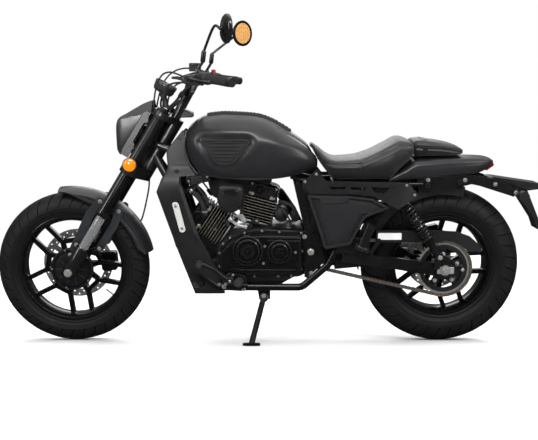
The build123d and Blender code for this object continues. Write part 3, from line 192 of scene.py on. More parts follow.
def finish_material(name):
    """The procedural material of that finish."""
    code, mottle, metallic, rough, spread, relief, size, depth, edge_lift, coat = finishes[name]
    material, tree, shader, place = new_material(name)
    cloud = add_node(tree, "ShaderNodeTexNoise", {"Vector": place, "Scale": 22, "Detail": 4}).outputs["Fac"]
    colour = add_node(tree, "ShaderNodeMix", {"Factor": cloud, 6: linear(code), 7: linear(mottle)},
                      data_type="RGBA").outputs[2]
    # a lighter grey on sharp convex edges, read from the mesh's pointiness
    if edge_lift:
        sharpness = add_node(tree, "ShaderNodeNewGeometry").outputs["Pointiness"]
        edge = add_node(tree, "ShaderNodeMapRange", {"Value": sharpness, "From Min": 0.515, "From Max": 0.60,
                                                     "To Min": 0, "To Max": edge_lift}).outputs["Result"]
        colour = add_node(tree, "ShaderNodeMix", {"Factor": edge, 6: colour, 7: linear("#6A6B6D")},
                          data_type="RGBA").outputs[2]
    gloss = add_node(tree, "ShaderNodeMapRange", {"Value": cloud, "From Min": 0.3, "From Max": 0.7,
                                                  "To Min": max(0.02, rough - spread),
                                                  "To Max": rough + spread})
    kind, output, settings, repeats = reliefs[relief]
    grain = add_node(tree, kind, {"Vector": place, "Scale": 1000 / size / repeats, **settings})
    bump = add_node(tree, "ShaderNodeBump", {"Height": grain.outputs[output], "Strength": 0.6,
                                             "Distance": depth / 1000})
    fill(shader, {"Base Color": colour, "Metallic": metallic, "Coat Weight": coat, "Coat Roughness": 0.12,
                  "Specular IOR Level": dull_skins.get(name, 0.5), "Roughness": gloss.outputs["Result"],
                  "Normal": bump.outputs["Normal"]})
    return material


def seat_leather():
    """Pebbled black vinyl leather over foam: soft sheen, cells about 2 mm across, with painted shade
    darkening the creases between them.
    """
    material, tree, shader, place = new_material("seat_leather")
    bend = add_node(tree, "ShaderNodeTexNoise", {"Vector": place, "Scale": 180, "Detail": 3}).outputs["Fac"]
    pebble = add_node(tree, "ShaderNodeTexVoronoi", {"Vector": place, "Scale": 420}).outputs["Distance"]
    crease = add_node(tree, "ShaderNodeMapRange", {"Value": pebble, "From Min": 0.1, "From Max": 0.7,
                                                   "To Min": 0, "To Max": 1}).outputs["Result"]
    # painted shade: the colour darkens from each pebble's middle into the sunk creases between them
    colour = add_node(tree, "ShaderNodeMix", {"Factor": crease, 6: linear("#18181A"), 7: linear("#0F0F10")},
                      data_type="RGBA")
    gloss = add_node(tree, "ShaderNodeMapRange", {"Value": bend, "From Min": 0.3, "From Max": 0.7,
                                                  "To Min": 0.36, "To Max": 0.52})
    bump = add_node(tree, "ShaderNodeBump", {"Height": pebble, "Strength": 0.5,
                                             "Distance": 0.0004}, invert=True)
    fill(shader, {"Base Color": colour.outputs[2], "Roughness": gloss.outputs["Result"],
                  "Sheen Weight": 0.15, "Sheen Roughness": 0.5, "Normal": bump.outputs["Normal"]})
    return material


def clear_material(name):
    """A lens or mirror material, faintly ribbed."""
    code, through, rough, metallic = clear_finishes[name]
    material, tree, shader, place = new_material(name)
    ribs = add_node(tree, "ShaderNodeTexWave", {"Vector": place, "Scale": 40,
                                                "Distortion": 0}, bands_direction="X")
    darker = [c * 0.86 for c in linear(code)[:3]] + [1]
    tone = add_node(tree, "ShaderNodeMix", {"Factor": ribs.outputs["Fac"], 6: linear(code), 7: darker},
                    data_type="RGBA")
    fill(shader, {"Base Color": tone.outputs[2], "Transmission Weight": through, "Coat Weight": 0.4,
                  "Metallic": metallic, "Roughness": rough})
    return material


def floor_material():
    """Matt pale studio floor with the faintest unevenness."""
    material, tree, shader, place = new_material("studio_floor_paint")
    cloud = add_node(tree, "ShaderNodeTexNoise", {"Vector": place, "Scale": 0.8, "Detail": 2}).outputs["Fac"]
    tone = add_node(tree, "ShaderNodeMix", {"Factor": cloud, 6: linear("#F6F6F6"), 7: linear("#FAFAFA")},
                    data_type="RGBA")
    fill(shader, {"Base Color": tone.outputs[2], "Roughness": 0.7})
    return material


def material_of(name):
    """Any of the finishes by name, made once."""
    known = bpy.data.materials.get(name)
    if known:
        return known
    if name == "seat_leather":
        return seat_leather()
    return clear_material(name) if name in clear_finishes else finish_material(name)


# --- forms ------------------------------------------------------------------------------------
class Form:
    """One piece: vertices and faces, upright and in mm, with a finish for each face. Its parts are
    given for the right side. A form that is made for a side is one of a left and right pair."""

    def __init__(self, side=None):
        self.paired = side is not None
        self.side = side or 1
        self.points = []
        self.faces = []
        self.kinds = []

    def both(self):
        """Draws for the left side, then for the right."""
        for self.side in sides:
            yield self.side

    def there(self, point):
        """A point or direction of the right side on the side now drawn."""
        return Vector((point[0], self.side * point[1], point[2]))

    def rings(self, loops, kind=0, closed=False, caps=True, sheet=False):
        """Joins loops of equally many points, one after another; a sheet's loops are open ones."""
        count = len(loops[0])
        first = len(self.points)
        faces = []
        for i in range(len(loops) if closed else len(loops) - 1):
            a, b = first + i * count, first + (i + 1) % len(loops) * count
            faces += [(a + j, a + (j + 1) % count, b + (j + 1) % count, b + j) for j in range(count - sheet)]
        if caps and not closed:
            faces += [tuple(range(first, first + count))[::-1], tuple(range(b, b + count))]
        self.points += [Vector(p) for loop in loops for p in loop]
        self.faces += faces
        self.kinds += [kind] * len(faces)

    def turned(self, centre, profile, count=24, kind=0, axis=across, closed=False):
        """Turns a profile of (along the axis, radius) points about an axis."""
        axis = self.there(axis).normalized()
        one = axis.orthogonal().normalized()
        two = axis.cross(one)
        turns = [2 * pi * i / count for i in range(count)]
        self.rings([[self.there(centre) + axis * along + (one * cos(t) + two * sin(t)) * max(radius, 0.01)
                     for t in turns] for along, radius in profile], kind, closed)

    def swept(self, path, radius, count=12, kind=0, flat=1):
        """A round or flattened bar along a path of points; radius may be a list."""
        path = [self.there(p) for p in path]
        radii = radius if isinstance(radius, list) else [radius] * len(path)
        turns = [2 * pi * k / count for k in range(count)]
        loops = []
        side = None
        for i, (point, size) in enumerate(zip(path, radii)):
            ahead = (path[min(i + 1, len(path) - 1)] - path[max(i - 1, 0)]).normalized()
            if side is None:
                side = ahead.cross(across if abs(ahead.y) < 0.9 else up)
            side = (side - ahead * side.dot(ahead)).normalized()
            other = ahead.cross(side)
            loops.append([point + side * size * cos(t) + other * size * flat * sin(t) for t in turns])
        self.rings(loops, kind)

    def slab(self, outline, levels, kind=0):
        """A side outline of (x, z) points at levels of (how far it is drawn in, distance across)."""
        self.rings([[self.there((x, y, z)) for x, z in inset_outline(outline, inset)]
                    for inset, y in levels], kind)

    def plate(self, outline, near, far, chamfer=1.5, kind=0):
        """A side outline between two distances across, with its outer edge chamfered."""
        self.slab(outline, ((0, near), (0, far - (chamfer if far > near else -chamfer)),
                            (chamfer, far)), kind)

    def bolt(self, at, radius, height, kind=0, axis=across):
        """A button-head bolt with its hexagon socket, standing on a face at that point."""
        self.turned(at, [(-0.5, radius), (height * 0.55, radius), (height * 0.9, radius * 0.78),
                         (height, radius * 0.5), (height * 0.45, radius * 0.46), (height * 0.45, 0)], 12,
                    kind, axis)

    def bolts(self, places, y, radius, height, kind=0):
        """A bolt at each (x, z) place, that far across."""
        for x, z in places:
            self.bolt((x, y, z), radius, height, kind)

    def piece(self, name, materials, replaced="", body="chassis", smooth=40):
        """Makes the object, parks it, finishes it and lets it ride on its body. The left one of a pair
        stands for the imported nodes. Names of finishes and nodes are parted by spaces."""
        if self.paired:
            name += "_left" if self.side < 0 else "_right"
        mesh = bpy.data.meshes.new(name)
        mesh.from_pydata([millimetres @ p for p in self.points], [], self.faces)
        for polygon, kind in zip(mesh.polygons, self.kinds):
            polygon.material_index = kind
        work = bmesh.new()
        work.from_mesh(mesh)
        bmesh.ops.recalc_face_normals(work, faces=work.faces)
        work.to_mesh(mesh)
        work.free()
        mesh.shade_smooth()
        mesh.set_sharp_from_angle(angle=radians(smooth))
        for material in materials.split():
            mesh.materials.append(material_of(material))
        made = bpy.data.objects.new(name, mesh)
        bpy.context.scene.collection.objects.link(made)
        if replaced and not (self.paired and self.side > 0):
            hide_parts(*replaced.split())
        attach(made, body)
        return made


def inset_outline(outline, distance):
    """The outline drawn inwards by a distance, corner by corner."""
    following = outline[1:] + outline[:1]
    turn = 1 if sum(xa * zb - xb * za for (xa, za), (xb, zb) in zip(outline, following)) > 0 else -1
    drawn = []
    for (xa, za), (xb, zb), (xc, zc) in zip(outline[-1:] + outline[:-1], outline, following):
        first = Vector((xb - xa, zb - za)).normalized()
        second = Vector((xc - xb, zc - zb)).normalized()
        bisector = Vector((-first.y, first.x)) * turn + Vector((-second.y, second.x)) * turn
        length = bisector.length
        bisector = bisector.normalized() * (distance / max(0.35, length / 2) if length > 1e-6 else 0)
        drawn.append((xb + bisector.x, zb + bisector.y))
    return drawn


def rounded(outline, radius, steps=4):
    """The outline with its corners rounded."""
    result = []
    for i, corner in enumerate(outline):
        a, b, c = Vector(outline[i - 1]), Vector(corner), Vector(outline[(i + 1) % len(outline)])
        back, ahead = (a - b), (c - b)
        reach = min(radius, back.length * 0.45, ahead.length * 0.45)
        p, q = b + back.normalized() * reach, b + ahead.normalized() * reach
        for t in (k / steps for k in range(steps + 1)):
            result.append(tuple((1 - t) ** 2 * p + 2 * t * (1 - t) * b + t ** 2 * q))
    return result


def fours(rows):
    """Each row and the next one, between their neighbours."""
    return zip(rows[:1] + rows[:-2], rows[:-1], rows[1:], rows[2:] + rows[-1:])


def between(a, b, c, d, t):
    """A share t of the way from b to c on a Catmull-Rom curve."""
    return 0.5 * (2 * b + (c - a) * t + (2 * a - 5 * b + 4 * c - d) * t * t
                  + (3 * b - a - 3 * c + d) * t ** 3)


def smooth_rows(rows, steps):
    """Rows of numbers with more rows in between, on smooth curves."""
    return [[between(*values, k / steps) for values in zip(*four)]
            for four in fours(rows) for k in range(steps)] + [list(rows[-1])]


def smooth_path(points, steps=6):
    """A smooth curve through the points."""
    points = [Vector(p) for p in points]
    return [between(*four, k / steps) for four in fours(points) for k in range(steps)] + [points[-1]]


def arc(a, b, c, steps):
    """Points on the circle through three points, from a to c, without the last."""
    ax, ay, bx, by, cx, cy = *a, *b, *c
    d = 2 * (ax * (by - cy) + bx * (cy - ay) + cx * (ay - by))
    if abs(d) < 1e-6:
        return [(ax + (cx - ax) * k / steps, ay + (cy - ay) * k / steps) for k in range(steps)]
    aa, bb, cc = ax * ax + ay * ay, bx * bx + by * by, cx * cx + cy * cy
    ux = (aa * (by - cy) + bb * (cy - ay) + cc * (ay - by)) / d
    uy = (aa * (cx - bx) + bb * (ax - cx) + cc * (bx - ax)) / d
    radius = hypot(ax - ux, ay - uy)
    start, middle, end = (atan2(y - uy, x - ux) for x, y in (a, b, c))
    sweep = (end - start) % (2 * pi)
    if (middle - start) % (2 * pi) > sweep:
        sweep -= 2 * pi
    return [(ux + radius * cos(start + sweep * k / steps), uy + radius * sin(start + sweep * k / steps))
            for k in range(steps)]


def body_section(row, side_steps=8, crown_steps=12):
    """One rounded cross-section of a panel: x, then half width and z at its foot, at its widest and at
    its shoulder, and the crown's z."""
    x, foot_half, foot_z, wide_half, wide_z, shoulder_half, shoulder_z, crown_z = row
    right = arc((foot_half, foot_z), (wide_half, wide_z), (shoulder_half, shoulder_z), side_steps)
    crown = arc((shoulder_half, shoulder_z), (0, crown_z), (-shoulder_half, shoulder_z), crown_steps)
    left = [(-shoulder_half, shoulder_z)] + [(-y, z) for y, z in right[:0:-1]]
    foot = [(-foot_half + 2 * foot_half * k / 4, foot_z) for k in range(4)]
    return [(x, y, z) for y, z in right + crown + left + foot]


def half_at(side, z):
    """Half width at that height of a section's side, a run of (x, y, z) points from its foot up."""
    for (_, y0, z0), (_, y1, z1) in zip(side, side[1:]):
        if z0 <= z <= z1:
            return y0 + (y1 - y0) * (z - z0) / max(z1 - z0, 1e-6)
    return side[-1][1]


def edge_distance(outline, x, z):
    """How far a point lies from an outline, negative inside it."""
    nearest, inside = 1e9, False
    for (xa, za), (xb, zb) in zip(outline, outline[1:] + outline[:1]):
        run = ((x - xa) * (xb - xa) + (z - za) * (zb - za)) / ((xb - xa) ** 2 + (zb - za) ** 2)
        run = min(1, max(0, run))
        nearest = min(nearest, hypot(x - xa - run * (xb - xa), z - za - run * (zb - za)))
        if (za > z) != (zb > z) and x < (xb - xa) * (z - za) / (zb - za) + xa:
            inside = not inside
    return -nearest if inside else nearest


def ease(value, low, high):
    """0 below low, 1 above high and a smooth step between."""
    t = min(1, max(0, (value - low) / (high - low)))
    return t * t * (3 - 2 * t)


def on_circle(centre, radius, turn):
    """A point of the circle about a centre in the side view, as x, z."""
    return centre.x + radius * cos(turn), centre.z + radius * sin(turn)


# --- sizes and strengths a user would change --------------------------------------------------
class TyreSettings(PropertyGroup):
    groove_depth: FloatProperty(name="Groove depth", description="Depth of the tread's grooves",
                                default=0.004, min=0.001, max=0.008, unit="LENGTH")
    around: IntProperty(name="Grooves around", description="How many times the tread repeats round the tyre",
                        default=36, min=12, max=60)


class SeatSettings(PropertyGroup):
    seam_depth: FloatProperty(name="Seam depth", description="How far the sewn seams pull into the cushions",
                              default=0.0042, min=0.0, max=0.006, unit="LENGTH")


class StageSettings(PropertyGroup):
    overhead: FloatProperty(name="Overhead light", description="Strength of the broad light from above",
                            default=1.1, min=0.0)
    key_power: FloatProperty(name="Softboxes",
                             description="Power of the side softbox in watts, the others following",
                             default=95.0, min=0.0)
    surround: FloatProperty(name="Surround", description="Brightness of the room overhead",
                            default=0.55, min=0.0)
    lens: FloatProperty(name="Focal length",
                        description="Focal length of the camera in mm on a 36 mm wide film", default=58.8,
                        min=20.0, unit="CAMERA")


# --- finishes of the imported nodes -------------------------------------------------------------
node_finishes = {
    "tyre_rubber": "front_tyre rear_tyre",
    "lacquered_wheel": "front_wheel_casting rear_wheel_casting",
    "ground_stainless": "front_brake_disc rear_brake_disc",
    "engine_paint": "fork_bottoms",
    "hard_chrome": "fork_inner_tubes",
    "spring_paint": "fork_outer_tubes",
    "powder_coated_steel": "fork_yokes handlebar frame_spine frame_left_cradle frame_right_cradle "
                           "pivot_plates subframe tail_brackets rack_bosses swingarm rear_shocks "
                           "rider_footrests",
    "matt_body_paint": "front_fender headlight_cowl fuel_tank tail_cowl side_panels",
    "satin_grey_paint": "fender_stays",
    "moulded_abs": "headlamp front_indicators instrument_gauge mirrors intake_covers radiator_shrouds "
                   "belt_covers rear_fender plate_carrier chain_guard",
    "anodised_grey": "headlamp_brackets",
    "soft_rubber": "grips control_cables tank_trim",
    "painted_casting": "hand_controls front_caliper crankcase engine_covers front_cylinder rear_cylinder "
                       "rear_caliper passenger_peg_brackets left_passenger_peg right_passenger_peg",
    "radiator_core": "radiator",
    "seat_leather": "rider_seat pillion_seat",
    "red_acrylic": "tail_lamp",
    "zinc_plated_steel": "rear_axle rear_sprocket chain",
    "heat_paint": "exhaust",
    "dull_enamel": "side_stand",
}
# width of the rounded edges in mm, and the nodes
softened = {
    0.8: "chain_guard rear_fender",
    1.0: "rider_footrests side_stand left_passenger_peg right_passenger_peg fork_outer_tubes",
    1.2: "fender_stays",
    1.5: "pivot_plates passenger_peg_brackets fork_bottoms",
    1.6: "front_wheel_casting rear_wheel_casting",
    2.0: "tail_brackets plate_carrier fork_yokes front_caliper rear_caliper",
    2.5: "belt_covers",
    3.0: "swingarm",
}


def soften(node, width):
    """Rounds a plate's or casting's edges where it is shown."""
    weld = node.modifiers.new("joined_faces", "WELD")
    weld.merge_threshold = 0.00002
    edge = node.modifiers.new("rounded_edges", "BEVEL")
    edge.width = width / 1000
    edge.segments = 2
    edge.limit_method = "ANGLE"
    edge.angle_limit = radians(38)
    edge.use_clamp_overlap = True
    edge.harden_normals = False


class MOTO_OT_node_finishes(Operator):
    """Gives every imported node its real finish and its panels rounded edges"""
    bl_idname = "motorcycle.node_finishes"
    bl_label = "Finishes of the frame"

    def execute(self, context):
        for finish, nodes in node_finishes.items():
            for node in nodes.split():
                data = frame["nodes"][node].data
                data.materials.clear()
                data.materials.append(material_of(finish))
        for width, nodes in softened.items():
            for node in nodes.split():
                soften(frame["nodes"][node], width)
        return {"FINISHED"}


# --- tank -------------------------------------------------------------------------------------
# rows as body_section takes them
tank_stations = smooth_rows([
    (-264, 40, 756, 60, 790, 40, 815, 822), (-258, 62, 745, 92, 800, 64, 838, 846),
    (-240, 74, 712, 112, 790, 72, 852, 866), (-205, 84, 674, 132, 776, 78, 868, 889),
    (-160, 94, 662, 143, 771, 80, 877, 897), (-110, 102, 656, 148, 768, 80, 881, 900),
    (0, 106, 653, 150, 762, 80, 874, 893), (60, 104, 656, 147, 757, 76, 856, 874),
    (110, 100, 662, 140, 748, 70, 828, 846), (155, 90, 671, 128, 738, 60, 800, 816),
    (194, 78, 680, 112, 726, 50, 770, 784), (220, 64, 689, 92, 714, 43, 733, 742),
    (234, 48, 700, 62, 708, 34, 714, 716)], 10)
pad_edge = rounded([(-206, 800), (-196, 808), (-30, 808), (-18, 798), (-84, 714), (-146, 710)], 25, 5)
# how far each line of the pad's rim is drawn in, and stands proud of the tank
pad_rim = ((0, -3), (0, 4.4), (1.8, 6.6), (6, 6.6), (9, 1.2))
pad_rows, pad_columns = 44, 16
rib_pitch = 13.5


def dished(x, y, z):
    """A point of the tank's side, sunk where the pad sits and raised a little behind it."""
    if abs(y) < 70 or z > 850:
        return x, y, z
    away = edge_distance(pad_edge, x, z)
    depth = 8.5 * (1 - ease(away, 3, 19)) - 2.6 * ease(away, 10, 26) * (1 - ease(away, 26, 60))
    if x > -10:
        crest = 821 - (x - 5) * 0.222
        depth -= 2.6 * ease(x, -10, 40) * (1 - ease(abs(z - crest + 12), 4, 22)) * (1 - ease(x, 130, 200))
    return x, y - depth * (1 if y > 0 else -1), z


def tank_side(x, z):
    """Half width of the tank there, dish included."""
    near = min(range(len(tank_stations) - 1), key=lambda i: abs(tank_stations[i][0] - x))
    a, b = tank_stations[max(near - 1, 0)], tank_stations[near + 1]
    t = min(1, max(0, (x - a[0]) / (b[0] - a[0])))
    row = [p + (q - p) * t for p, q in zip(a, b)]
    return dished(x, half_at(body_section(row, 24, 4)[:25], z), z)[1]


def tank_crown(x, y):
    """Height of the tank's top there."""
    row = min(tank_stations, key=lambda station: abs(station[0] - x))
    return row[7] - (row[7] - row[6]) * (y / row[5]) ** 2


class MOTO_OT_tank(Operator):
    """Builds the teardrop tank with its dished sides, ribbed rubber pads and ribbed crown strip"""
    bl_idname = "motorcycle.tank"
    bl_label = "Tank, pads and crown strip"

    def execute(self, context):
        tank = Form()
        tank.rings([[dished(*p) for p in body_section(row, 26, 14)] for row in tank_stations])
        # the pressed seam flange along its foot
        for _ in tank.both():
            tank.swept([(row[0], row[1] + 2.5, row[2] + 3) for row in tank_stations[6:-4]], 3.2, 8)
        tank.piece("tank_shell", "matt_body_paint", "fuel_tank")
        for side in sides:
            pad = Form(side)
            pad.rings([[pad.there((x, tank_side(x, z) + proud, z))
                        for x, z in inset_outline(pad_edge, inset)] for inset, proud in pad_rim], caps=False)
            floor = inset_outline(pad_edge, pad_rim[-1][0])
            low, high = min(z for _, z in floor), max(z for _, z in floor)
            grid = []
            for r in range(pad_rows + 1):
                z = min(high - 0.05, max(low + 0.05, low + (high - low) * r / pad_rows))
                crossings = sorted(xa + (z - za) / (zb - za) * (xb - xa)
                                   for (xa, za), (xb, zb) in zip(floor, floor[1:] + floor[:1])
                                   if (za > z) != (zb > z))
                start, end = crossings[0], crossings[-1]
                rib = 4.6 * ease(abs((z - 717) % rib_pitch - rib_pitch / 2), 1.6,
                                 4.4) * ease(end - start, 20, 40)
                row = []
                for c in range(pad_columns + 1):
                    x = start + (end - start) * c / pad_columns
                    rim = ease(min(c, pad_columns - c), 0.2, 1.6)
                    row.append(pad.there((x, tank_side(x, z) + 1.4 + rib * rim, z)))
                grid.append(row)
            pad.rings(grid, caps=False, sheet=True)
            pad.piece("tank_pad", "soft_rubber", "tank_trim")
        strip = Form()
        loops = []
        count = 92
        for i in range(count + 1):
            x = -188 + 322 * i / count
            end = min(ease(x, -189, -176), 1 - ease(x, 122, 135))
            half = 20 + 17 * end ** 0.5
            rib = 1.6 * ease(abs((x + 188) % 14 - 7), 2, 4)
            loop = []
            for y in (-half + 2 * half * k / 14 for k in range(15)):
                edge, inner = ease(half - abs(y), 0, 4), ease(half - abs(y), 7, 10)
                loop.append((x, y, tank_crown(x, y) + 1 + 5 * edge + rib * inner * end))
            loops.append(loop + [(x, y, tank_crown(x, y) - 3)
                                 for y in (half - 2 * half * k / 4 for k in range(5))])
        strip.rings(loops)
        strip.piece("tank_crown_strip", "soft_rubber")
        return {"FINISHED"}


# --- seats ------------------------------------------------------------------------------------
rider_rows = [
    (207, 20, 774, 30, 778, 22, 781, 783), (214, 34, 768, 47, 776, 36, 783, 787),
    (235, 56, 728, 72, 750, 56, 766, 774), (262, 80, 690, 102, 716, 78, 742, 752),
    (295, 108, 660, 130, 690, 104, 726, 737), (345, 124, 658, 146, 690, 114, 728, 737),
    (400, 128, 659, 150, 696, 118, 736, 744), (450, 128, 660, 150, 704, 116, 753, 763),
    (500, 128, 662, 150, 716, 112, 780, 791), (535, 122, 694, 142, 741, 106, 799, 811),
    (565, 114, 720, 131, 755, 100, 797, 808), (586, 104, 738, 118, 762, 92, 788, 797),
    (591, 96, 745, 108, 764, 86, 780, 788)]
pillion_rows = [
    (597, 70, 748, 84, 766, 72, 790, 795), (602, 72, 742, 90, 768, 78, 797, 803),
    (620, 76, 741, 94, 769, 81, 799, 806), (660, 78, 742, 96, 769, 82, 796, 802),
    (700, 77, 742, 93, 767, 78, 790, 796), (740, 74, 743, 88, 764, 72, 783, 788),
    (768, 64, 745, 77, 760, 62, 773, 777), (784, 50, 747, 62, 756, 48, 764, 766),
    (790, 38, 750, 46, 755, 36, 759, 760)]
# where each seam runs along the cushion's flank, as x, z
rider_seam = [(262, 716), (300, 712), (390, 716), (470, 752), (540, 784), (584, 782)]
pillion_seam = [(604, 772), (700, 768), (780, 756)]
cross_seam = 392
stitch, stitch_pitch = 5, 8


def seam_height(seam, x):
    """A seam's height at x, or None beyond its ends."""
    for (xa, za), (xb, zb) in zip(seam, seam[1:]):
        if xa <= x <= xb:
            return za + (zb - za) * (x - xa) / (xb - xa)
    return None


def cushion(rows, seam, crossing, name, replaced, depth):
    """A moulded foam cushion in a sewn cover: welts sunk along a side seam and across the seat."""
    stations = smooth_rows(rows, 12)
    loops = []
    for row in stations:
        loop = []
        for x, y, z in body_section(row, 22, 22):
            sink = 0
            height = seam_height(seam, x)
            if height is not None and abs(y) > 60:
                sink += depth * exp(-((z - height) / 4.2) ** 2)
                sink -= 2.6 * exp(-((abs(z - height) - 11) / 5.5) ** 2)
            if crossing and z > row[2] + 30:
                sink += depth * exp(-((x - crossing) / 3) ** 2)
            out = (Vector((x, y, z)) - Vector((x, 0, row[2] + 0.35 * (row[7] - row[2])))).normalized()
            wave = noise.noise(Vector((x, y, z)) / 55) * 1.2
            loop.append(Vector((x, y, z)) - out * (sink + wave * ease(z, row[2] + 4, row[2] + 30)))
        loops.append(loop)
    form = Form()
    form.rings(loops)
    # the thread of the seams, stitch by stitch
    for _ in form.both():
        place = stations[0][0]
        while place < stations[-1][0]:
            ends = [(x, seam_height(seam, x)) for x in (place, place + stitch)]
            if None not in (ends[0][1], ends[1][1]):
                for lift in (-5.6, 5.6):
                    form.swept([(x, cushion_half(stations, x, z + lift) + 0.2, z + lift) for x, z in ends],
                               0.9, 5, 1)
            place += stitch_pitch
    form.piece(name, "seat_leather waxed_thread", replaced, smooth=60)


def cushion_half(stations, x, z):
    """Half width of a cushion at that place on its side."""
    row = min(stations[:-1], key=lambda station: abs(station[0] - x))
    return half_at(body_section(row, 22, 4)[:23], z)


class MOTO_OT_seats(Operator):
    """Builds the rider's scooped seat, the pillion pad and the strap across it"""
    bl_idname = "motorcycle.seats"
    bl_label = "Seats"

    def execute(self, context):
        depth = context.scene.motorcycle_seats.seam_depth * 1000
        cushion(rider_rows, rider_seam, cross_seam, "rider_cushion", "rider_seat", depth)
        cushion(pillion_rows, pillion_seam, None, "pillion_cushion", "pillion_seat", depth)
        strap = Form()
        loops = []
        for x, lift in ((628, -1), (629, 1.8), (648, 1.8), (649, -1)):
            row = min(smooth_rows(pillion_rows, 12), key=lambda r: abs(r[0] - x))
            middle = Vector((x, 0, row[2]))
            points = [Vector((x, y, z)) for _, y, z in body_section(row, 14, 16)[:14 + 16 + 14]]
            loops.append([point + (point - middle).normalized() * lift for point in points])
        strap.rings(loops)
        strap.piece("pillion_strap", "seat_leather", smooth=60)
        return {"FINISHED"}


# --- tail -------------------------------------------------------------------------------------
tail_rows = [
    (500, 112, 650, 132, 652, 112, 654, 655), (520, 112, 651, 136, 660, 112, 668, 672),
    (558, 111, 652, 133, 674, 108, 694, 701), (599, 109, 656, 127, 690, 103, 722, 730),
    (650, 104, 659, 120, 696, 98, 728, 735), (700, 98, 661, 112, 700, 94, 731, 737),
    (760, 90, 664, 103, 703, 86, 732, 738), (800, 84, 667, 96, 704, 80, 732, 738),
    (845, 73, 676, 85, 708, 70, 732, 737), (876, 62, 688, 74, 712, 60, 730, 735),
    (896, 54, 703, 64, 716, 54, 726, 730), (905, 48, 714, 56, 718, 48, 722, 725)]


class MOTO_OT_tail(Operator):
    """Builds the smooth tail cowl and the lamp let into its end"""
    bl_idname = "motorcycle.tail"
    bl_label = "Tail cowl and lamp"

    def execute(self, context):
        tail = Form()
        loops = []
        for row in smooth_rows(tail_rows, 8):
            # a pressed crease runs along each flank
            crest = row[4] + (row[6] - row[4]) * 0.35
            loop = []
            for x, y, z in body_section(row, 20, 12):
                sunk = 1.8 * ease(crest - z, 0, 3) * ease(z - row[2], 2, 16) if abs(y) > 40 else 0
                loop.append((x, y - sunk * (1 if y > 0 else -1), z))
            loops.append(loop)
        tail.rings(loops)
        tail.piece("tail_shell", "matt_body_paint", "tail_cowl")
        lamp = Form()
        lamp.slab(rounded([(883, 680), (913, 701), (910, 713), (897, 722), (872, 700)], 5, 3),
                  ((2.5, -46), (0, -42), (0, 42), (2.5, 46)))
        lamp.piece("tail_lens", "red_acrylic", "tail_lamp")
        return {"FINISHED"}


# --- tyres ------------------------------------------------------------------------------------
# name, body, node, axle, radius, width, bead seat radius, rim width
tyre_sizes = [
    ("front_tread", "front_wheel", "front_tyre", front_axle, 297, 120, 203, 86),
    ("rear_tread", "rear_wheel", "rear_tyre", rear_axle, 309, 150, 190.5, 108)]
tyre_depth_share = 0.47
# shares of a groove's pitch, and shares of the way from the crown to a shoulder, where the tread has points
tread_columns = (0, 0.02, 0.045, 0.155, 0.18, 0.33, 0.50, 0.52, 0.545, 0.655, 0.68, 0.83)
tread_shares = (0.97, 0.95, 0.92, 0.84, 0.70, 0.58, 0.46, 0.34, 0.23, 0.17, 0.12, 0.06)


class MOTO_OT_tyres(Operator):
    """Builds both tyres with slanted tread grooves, ringed walls and beads on the rims"""
    bl_idname = "motorcycle.tyres"
    bl_label = "Tyres"

    def execute(self, context):
        settings = context.scene.motorcycle_tyres
        shares = [-1, *(-s for s in tread_shares), 0, *tread_shares[::-1], 1]
        for name, body, node, axle, radius, width, seat, rim_width in tyre_sizes:
            half = width / 2
            drop = width * tyre_depth_share
            bend = (half * half + drop * drop) / (2 * drop)
            turn = atan2(half, bend - drop)
            wall_low = seat + 9.5
            wall = []
            for k in range(1, 9):
                t = k / 9
                y = half - (half - rim_width / 2 + 1.5) * t ** 1.9
                r = radius - drop - (radius - drop - wall_low) * t
                wall.append((y - 1.8, r))
                if k in (1, 3, 7):
                    # raised rings moulded round the wall
                    wall += [(y - 0.2, r - 0.4), (y - 0.2, r - 2), (y - 1.9, r - 2.6)]
            wall += [(rim_width / 2 - 1.2, wall_low), (rim_width / 2 - 6, seat + 5),
                     (rim_width / 2 - 9.5, seat + 0.4)]
            # distance across, radius and share of the way to the shoulder; 2 and beyond is wall
            rows = [(-y, r, -2) for y, r in wall[::-1]]
            rows += [(bend * sin(turn * s), radius - bend + bend * cos(turn * s), s) for s in shares]
            rows += [(y, r, 2) for y, r in wall]
            loops = []
            for pitch in range(settings.around):
                for column, place in enumerate(tread_columns):
                    loop = []
                    for y, r, share in rows:
                        angle = 2 * pi * (pitch + place + 0.95 * min(1, abs(share))) / settings.around
                        grooved = column in ((2, 3) if share < 0 else (8, 9)) and 0.13 < abs(share) < 0.94
                        cut = settings.groove_depth * 1000 if grooved else 0
                        r -= cut * cos(turn * share)
                        y -= cut * sin(turn * share)
                        loop.append(axle + Vector((cos(angle) * r, y, sin(angle) * r)))
                    loops.append(loop)
            form = Form()
            form.rings(loops, closed=True)
            form.piece(name, "tyre_rubber", node, body, smooth=35)
        return {"FINISHED"}


# --- shocks -----------------------------------------------------------------------------------
shock_top = Vector((540, 130, 598))
shock_eye = Vector((697, 130, 361))
coil_radius, wire_radius, coils, coil_steps = 18.4, 5.4, 11.5, 16


